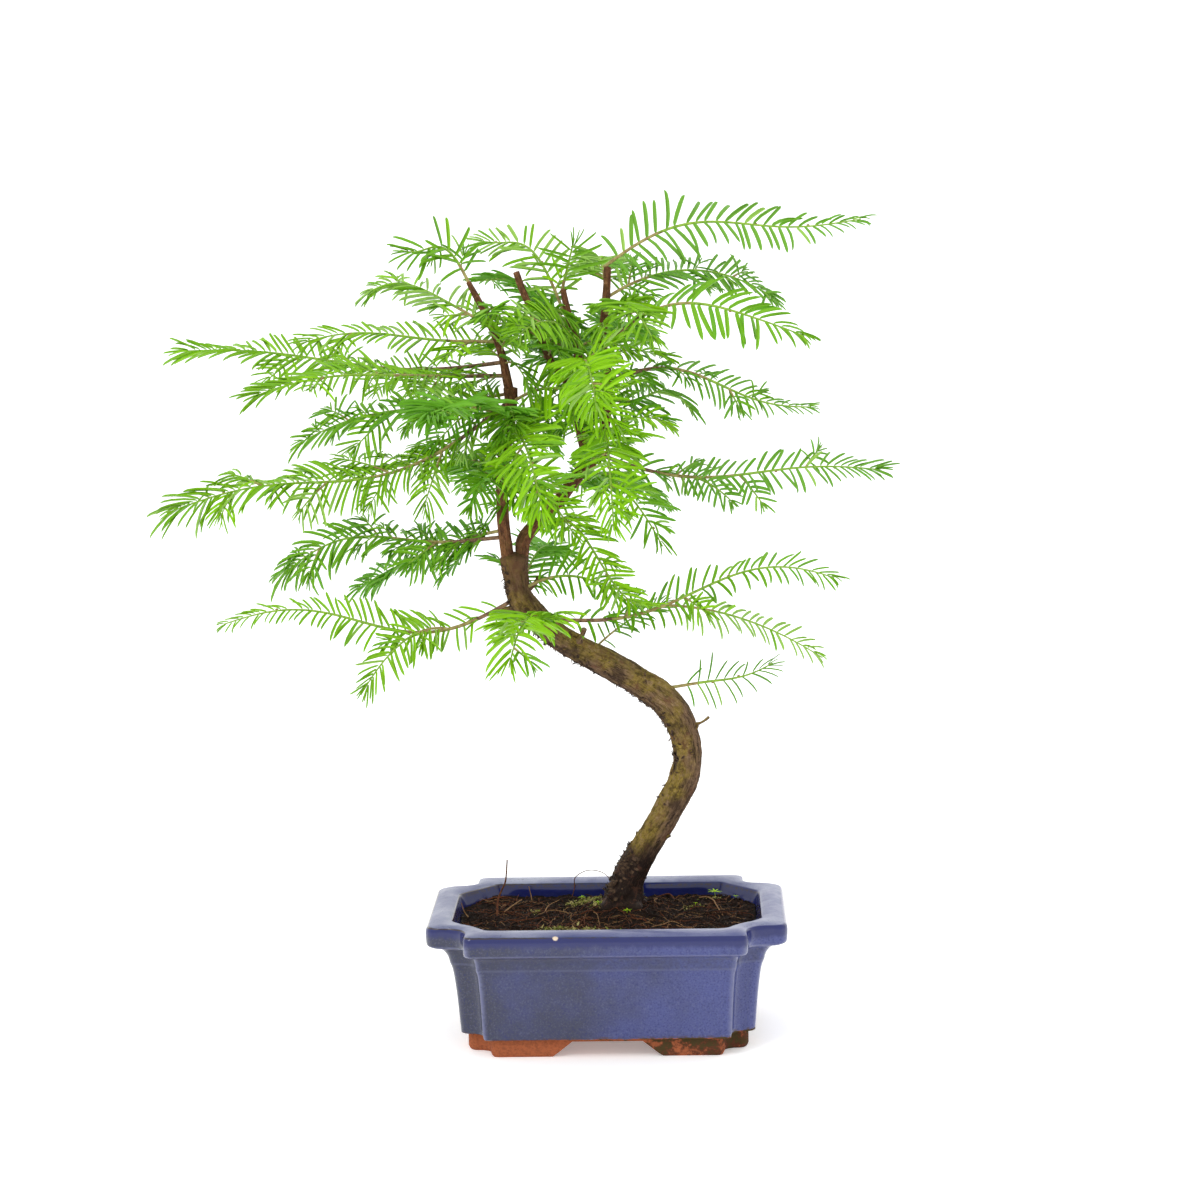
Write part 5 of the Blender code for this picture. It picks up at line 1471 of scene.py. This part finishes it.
BUD_SHARES = (0.35, 0.6, 0.8)  # where along a shoot a bud may stand
mass_tint = {mass: name for name, tint in TINTS.items() for mass in tint.masses}
for number, shoot in enumerate(SHOOTS):
    seed = number + (1000 if shoot.name in NEXT_SEED else 0)
    rule = random.Random(seed + 7000)
    tint, curl = mass_tint[shoot.name], CURL.get(shoot.name, 0.33)
    style = USUAL._replace(**STYLES.get(shoot.name, {}))
    close = style._replace(taper=0.2, pitch=3.1)
    main, *forks = main_axes(shoot)
    sides = side_lines(shoot, seed, main)
    fines = fine_lines(shoot, seed, main, sides) if style.fine else []
    end = main.length - style.short
    tones = tan_to(0.25)
    if shoot.bough:
        bough_style = style._replace(taper=0.0, pitch=5.5)
        dressed(main, 7.0, shoot.bough + 8.0, shoot.needle * 0.8, tint, curl, bough_style, rule, 0.8)
        share = (shoot.bough + 6) / main.length
        tones = [(share, "brown"), *tan_to(share + 0.25)]
    stalk(main, -2.5, end - 3.0, 1.05 if shoot.bough else 0.85, 0.32, tones)
    first = shoot.bough + GAP + 4.0 if shoot.bough else 5.0
    dressed(main, first, end, shoot.needle * style.size, tint, curl, style, rule, 0.5)
    for fork in forks:
        tone = style.fork or tint
        grown(fork, FORK, shoot.needle, tone, curl, style._replace(taper=0.25), rule)
        twiggy = shoot._replace(side=max(shoot.side, SIDE_LEAST))
        for line, _, _ in fine_lines(twiggy, seed + 90, fork, []) if style.fine else []:
            grown(line, FORK_FINE, shoot.needle, tone, curl, close._replace(size=1.0), rule)
    for line, _, _ in sides:
        if line.length < SIDE_LEAST:
            continue
        tone = tint if rule.random() < 0.7 else rule.choice(TINTS[tint].strays)
        grown(line, SIDE, shoot.needle, tone, curl, close, rule)
    for line, _, _ in fines:
        tone = tint if rule.random() < 0.6 else rule.choice(TINTS[tint].strays)
        grown(line, FINE, shoot.needle, tone, curl, close._replace(size=1.0), rule)
    for share in BUD_SHARES:
        if rule.random() < 0.5:
            place, along, side, _ = main.at(main.length * share)
            buds.append((place + side * rule.choice((-1, 1)) * 0.7, along))

# Short late shoots fill the middle of the crown: how many on each limb, from what height to what.
LATE_SHOOTS = {
    "left_stem": (13, 256, 306), "right_stem": (13, 252, 340), "middle_stem": (9, 284, 340),
    "cut_stem": (5, 314, 342), "high_left_stem": (8, 314, 350),
}
LATE_REACH, LATE_NEEDLE, HEADING_STEP, FRONT = (18, 46), (12, 17), 137.5, (215, 320)
LATE_TINTS = ("lime", "bright", "leaf", "leaf", "deep")
LATE_STYLE = USUAL._replace(taper=0.2, size=1.0, width=1.15, pitch=3.4)
late_rule = random.Random(77)
for number, (limb, (count, low, high)) in enumerate(LATE_SHOOTS.items()):
    for i in range(count):
        height = low + (high - low) * (i + late_rule.random()) / count
        heading = number * 50 + i * HEADING_STEP + late_rule.uniform(-20, 20)
        if i % 2 and limb.endswith("left_stem"):
            heading = late_rule.uniform(*FRONT)
        reach, rise = late_rule.uniform(*LATE_REACH), late_rule.uniform(-16, 9)
        place, _, _ = limb_at(limb, height)
        arch, roll = late_rule.uniform(2, 9), late_rule.uniform(-50, 50)
        line = shoot_axis(place, heading, reach, rise, arch, 0, roll)
        tone = late_rule.choice(LATE_TINTS)
        size = late_rule.uniform(*LATE_NEEDLE)
        grown(line, LATE, size, tone, 0.35, LATE_STYLE, late_rule)
# One more stands on the trunk, by a stub above its bend.
place, _, _ = limb_at("trunk", 183)
line = shoot_axis(place, 22, 42, 22, 4, 0, 40)
grown(line, TRUNK_TWIG, 12.5, "cool", 0.3, LATE_STYLE._replace(width=0.7, pitch=3.0), late_rule)

BOUGH_NODES = [f"bough_{shoot.name}" for shoot in SHOOTS if shoot.bough]
STALK_TONES = {
    "green": ((0.190, 0.360, 0.030), (0.300, 0.480, 0.050)),
    "tan": ((0.270, 0.190, 0.065), (0.400, 0.350, 0.120)),
    "brown": ((0.110, 0.055, 0.030), (0.300, 0.170, 0.090)),
}
for tone, tones in STALK_TONES.items():
    finish = Finish(f"{tone}_stalk", specular_ior_level=0.4)
    finish.wear(roughness=0.55 + finish.mottled(tones, 0.45, 3.0, (0.35, 0.65), 0.6) * 0.2)
    made = piece_of(f"{tone}_stalks", strand_mesh("stalks", stalks[tone], 7, finish), [finish])
    "bough_bark" if tone == "brown" else "needles"
    if tone == "brown":
        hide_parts(*BOUGH_NODES)

needle_shapes = [blade_shape("needle", NEEDLE_OUTLINE, bend, 0.16, sweep) for bend, sweep in NEEDLE_BENDS]
for name, tint in TINTS.items():
    finish = Finish(f"{name}_needle", base_color=tint.colour, roughness=0.5, specular_ior_level=0.25)
    needles = piece_of(f"{name}_needles", scattered(name, stands[name], needle_shapes, finish), [finish])
    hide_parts(*[f"foliage_{mass}" for mass in tint.masses])

BUD_SIZE = (0.95, 0.62, 0.62)
bud_finish = Finish("bud_scale", base_color=(0.300, 0.210, 0.070), roughness=0.5)
rows = []
for place, along in buds:
    side = along.cross(Vector((0, 0, 1))).normalized()
    rows.append(Stand(tuple(place), 0, turn_to(along, side, along.cross(side)), BUD_SIZE))
bud = lump_mesh("bud", 9, (1, 1, 1))
winter_buds = piece_of("winter_buds", scattered("buds", rows, [bud], bud_finish), [bud_finish])

# The studio is a white sheet swept up behind the pot and lit through from below, under a white sky. One
# broad soft light comes from the upper left, a small one draws highlights on the glaze, and one stands
# behind.
FLOOR_REACH, SWEEP_RADIUS, SWEEP_BACK, SWEEP_STEPS = 14.0, 2.0, 6.0, 16  # in metres
profile = [(-FLOOR_REACH, 0.0), (SWEEP_BACK, 0.0)]
for step in range(1, SWEEP_STEPS + 1):
    angle = step / SWEEP_STEPS * math.pi / 2
    profile.append((SWEEP_BACK + math.sin(angle) * SWEEP_RADIUS, SWEEP_RADIUS * (1 - math.cos(angle))))
profile.append((SWEEP_BACK + SWEEP_RADIUS, FLOOR_REACH / 2))
count = len(profile)
places = [(x, y, z) for x in (-FLOOR_REACH, FLOOR_REACH) for y, z in profile]
sheet = bpy.data.meshes.new("paper_sweep")
sheet.from_pydata(places, [], [(i, count + i, count + i + 1, i + 1) for i in range(count - 1)])
sheet.shade_smooth()
WHITE = (1.0, 1.0, 1.0)
paper = Finish("white_paper", base_color=(0.98, 0.98, 0.98), emission_color=WHITE, emission_strength=0.25)
paper.wear(roughness=0.85 + paper.noise(paper.place(), 0.01) * 0.1)
sheet.materials.append(paper.material)
sweep = linked("paper_sweep", sheet)

world = bpy.data.worlds.new("studio")
bpy.context.scene.world = world
world.use_nodes = True
background = world.node_tree.nodes["Background"]
background.inputs["Color"].default_value = (*WHITE, 1)
background.inputs["Strength"].default_value = 1.03
# Each light: kind, place and target in metres, strength, and its width in metres or degrees.
LIGHTS = {
    "key": ("SUN", (-1.5, -1.6, 2.4), (0, 0, 0.2), 0.35, 40.0),
    "softbox": ("AREA", (-0.75, -1.25, 1.35), (0, 0, 0.12), 5.0, 0.25),
    "rim": ("AREA", (1.2, 1.0, 1.6), (0, 0, 0.25), 6.0, 0.9),
}
for name, (kind, place, target, power, wide) in LIGHTS.items():
    light = bpy.data.lights.new(name, kind)
    light.energy = power
    if kind == "SUN":
        light.angle = math.radians(wide)
    else:
        light.size = wide
    lamp = linked(name, light)
    lamp.location = place
    lamp.rotation_euler = (Vector(target) - Vector(place)).to_track_quat("-Z", "Y").to_euler()

# The camera stands where the photograph was taken: azimuth, elevation, roll and place, in degrees
# and in millimetres from the middle of the pot.
AZIMUTH, ELEVATION, ROLL = (math.radians(angle) for angle in (1.6, 8.1, -1.0))
CAMERA_PLACE, LENS = (42.0, -1550.0, 430.0), 99.0
back = heading_way(AZIMUTH - math.pi / 2) * math.cos(ELEVATION) + Vector((0, 0, math.sin(ELEVATION)))
right = heading_way(AZIMUTH)
up = back.cross(right)
cosine, sine = math.cos(ROLL), math.sin(ROLL)
rolled = [right * cosine + up * sine, up * cosine - right * sine, back]
camera = linked("camera", bpy.data.cameras.new("camera"))
camera.data.lens, camera.data.sensor_width = LENS, 36.0
turned = Matrix(rolled).transposed().to_4x4()
camera.matrix_world = Matrix.Translation(Vector(placed(CAMERA_PLACE))) @ turned
bpy.context.scene.camera = camera
bpy.context.scene.view_settings.view_transform = "Standard"
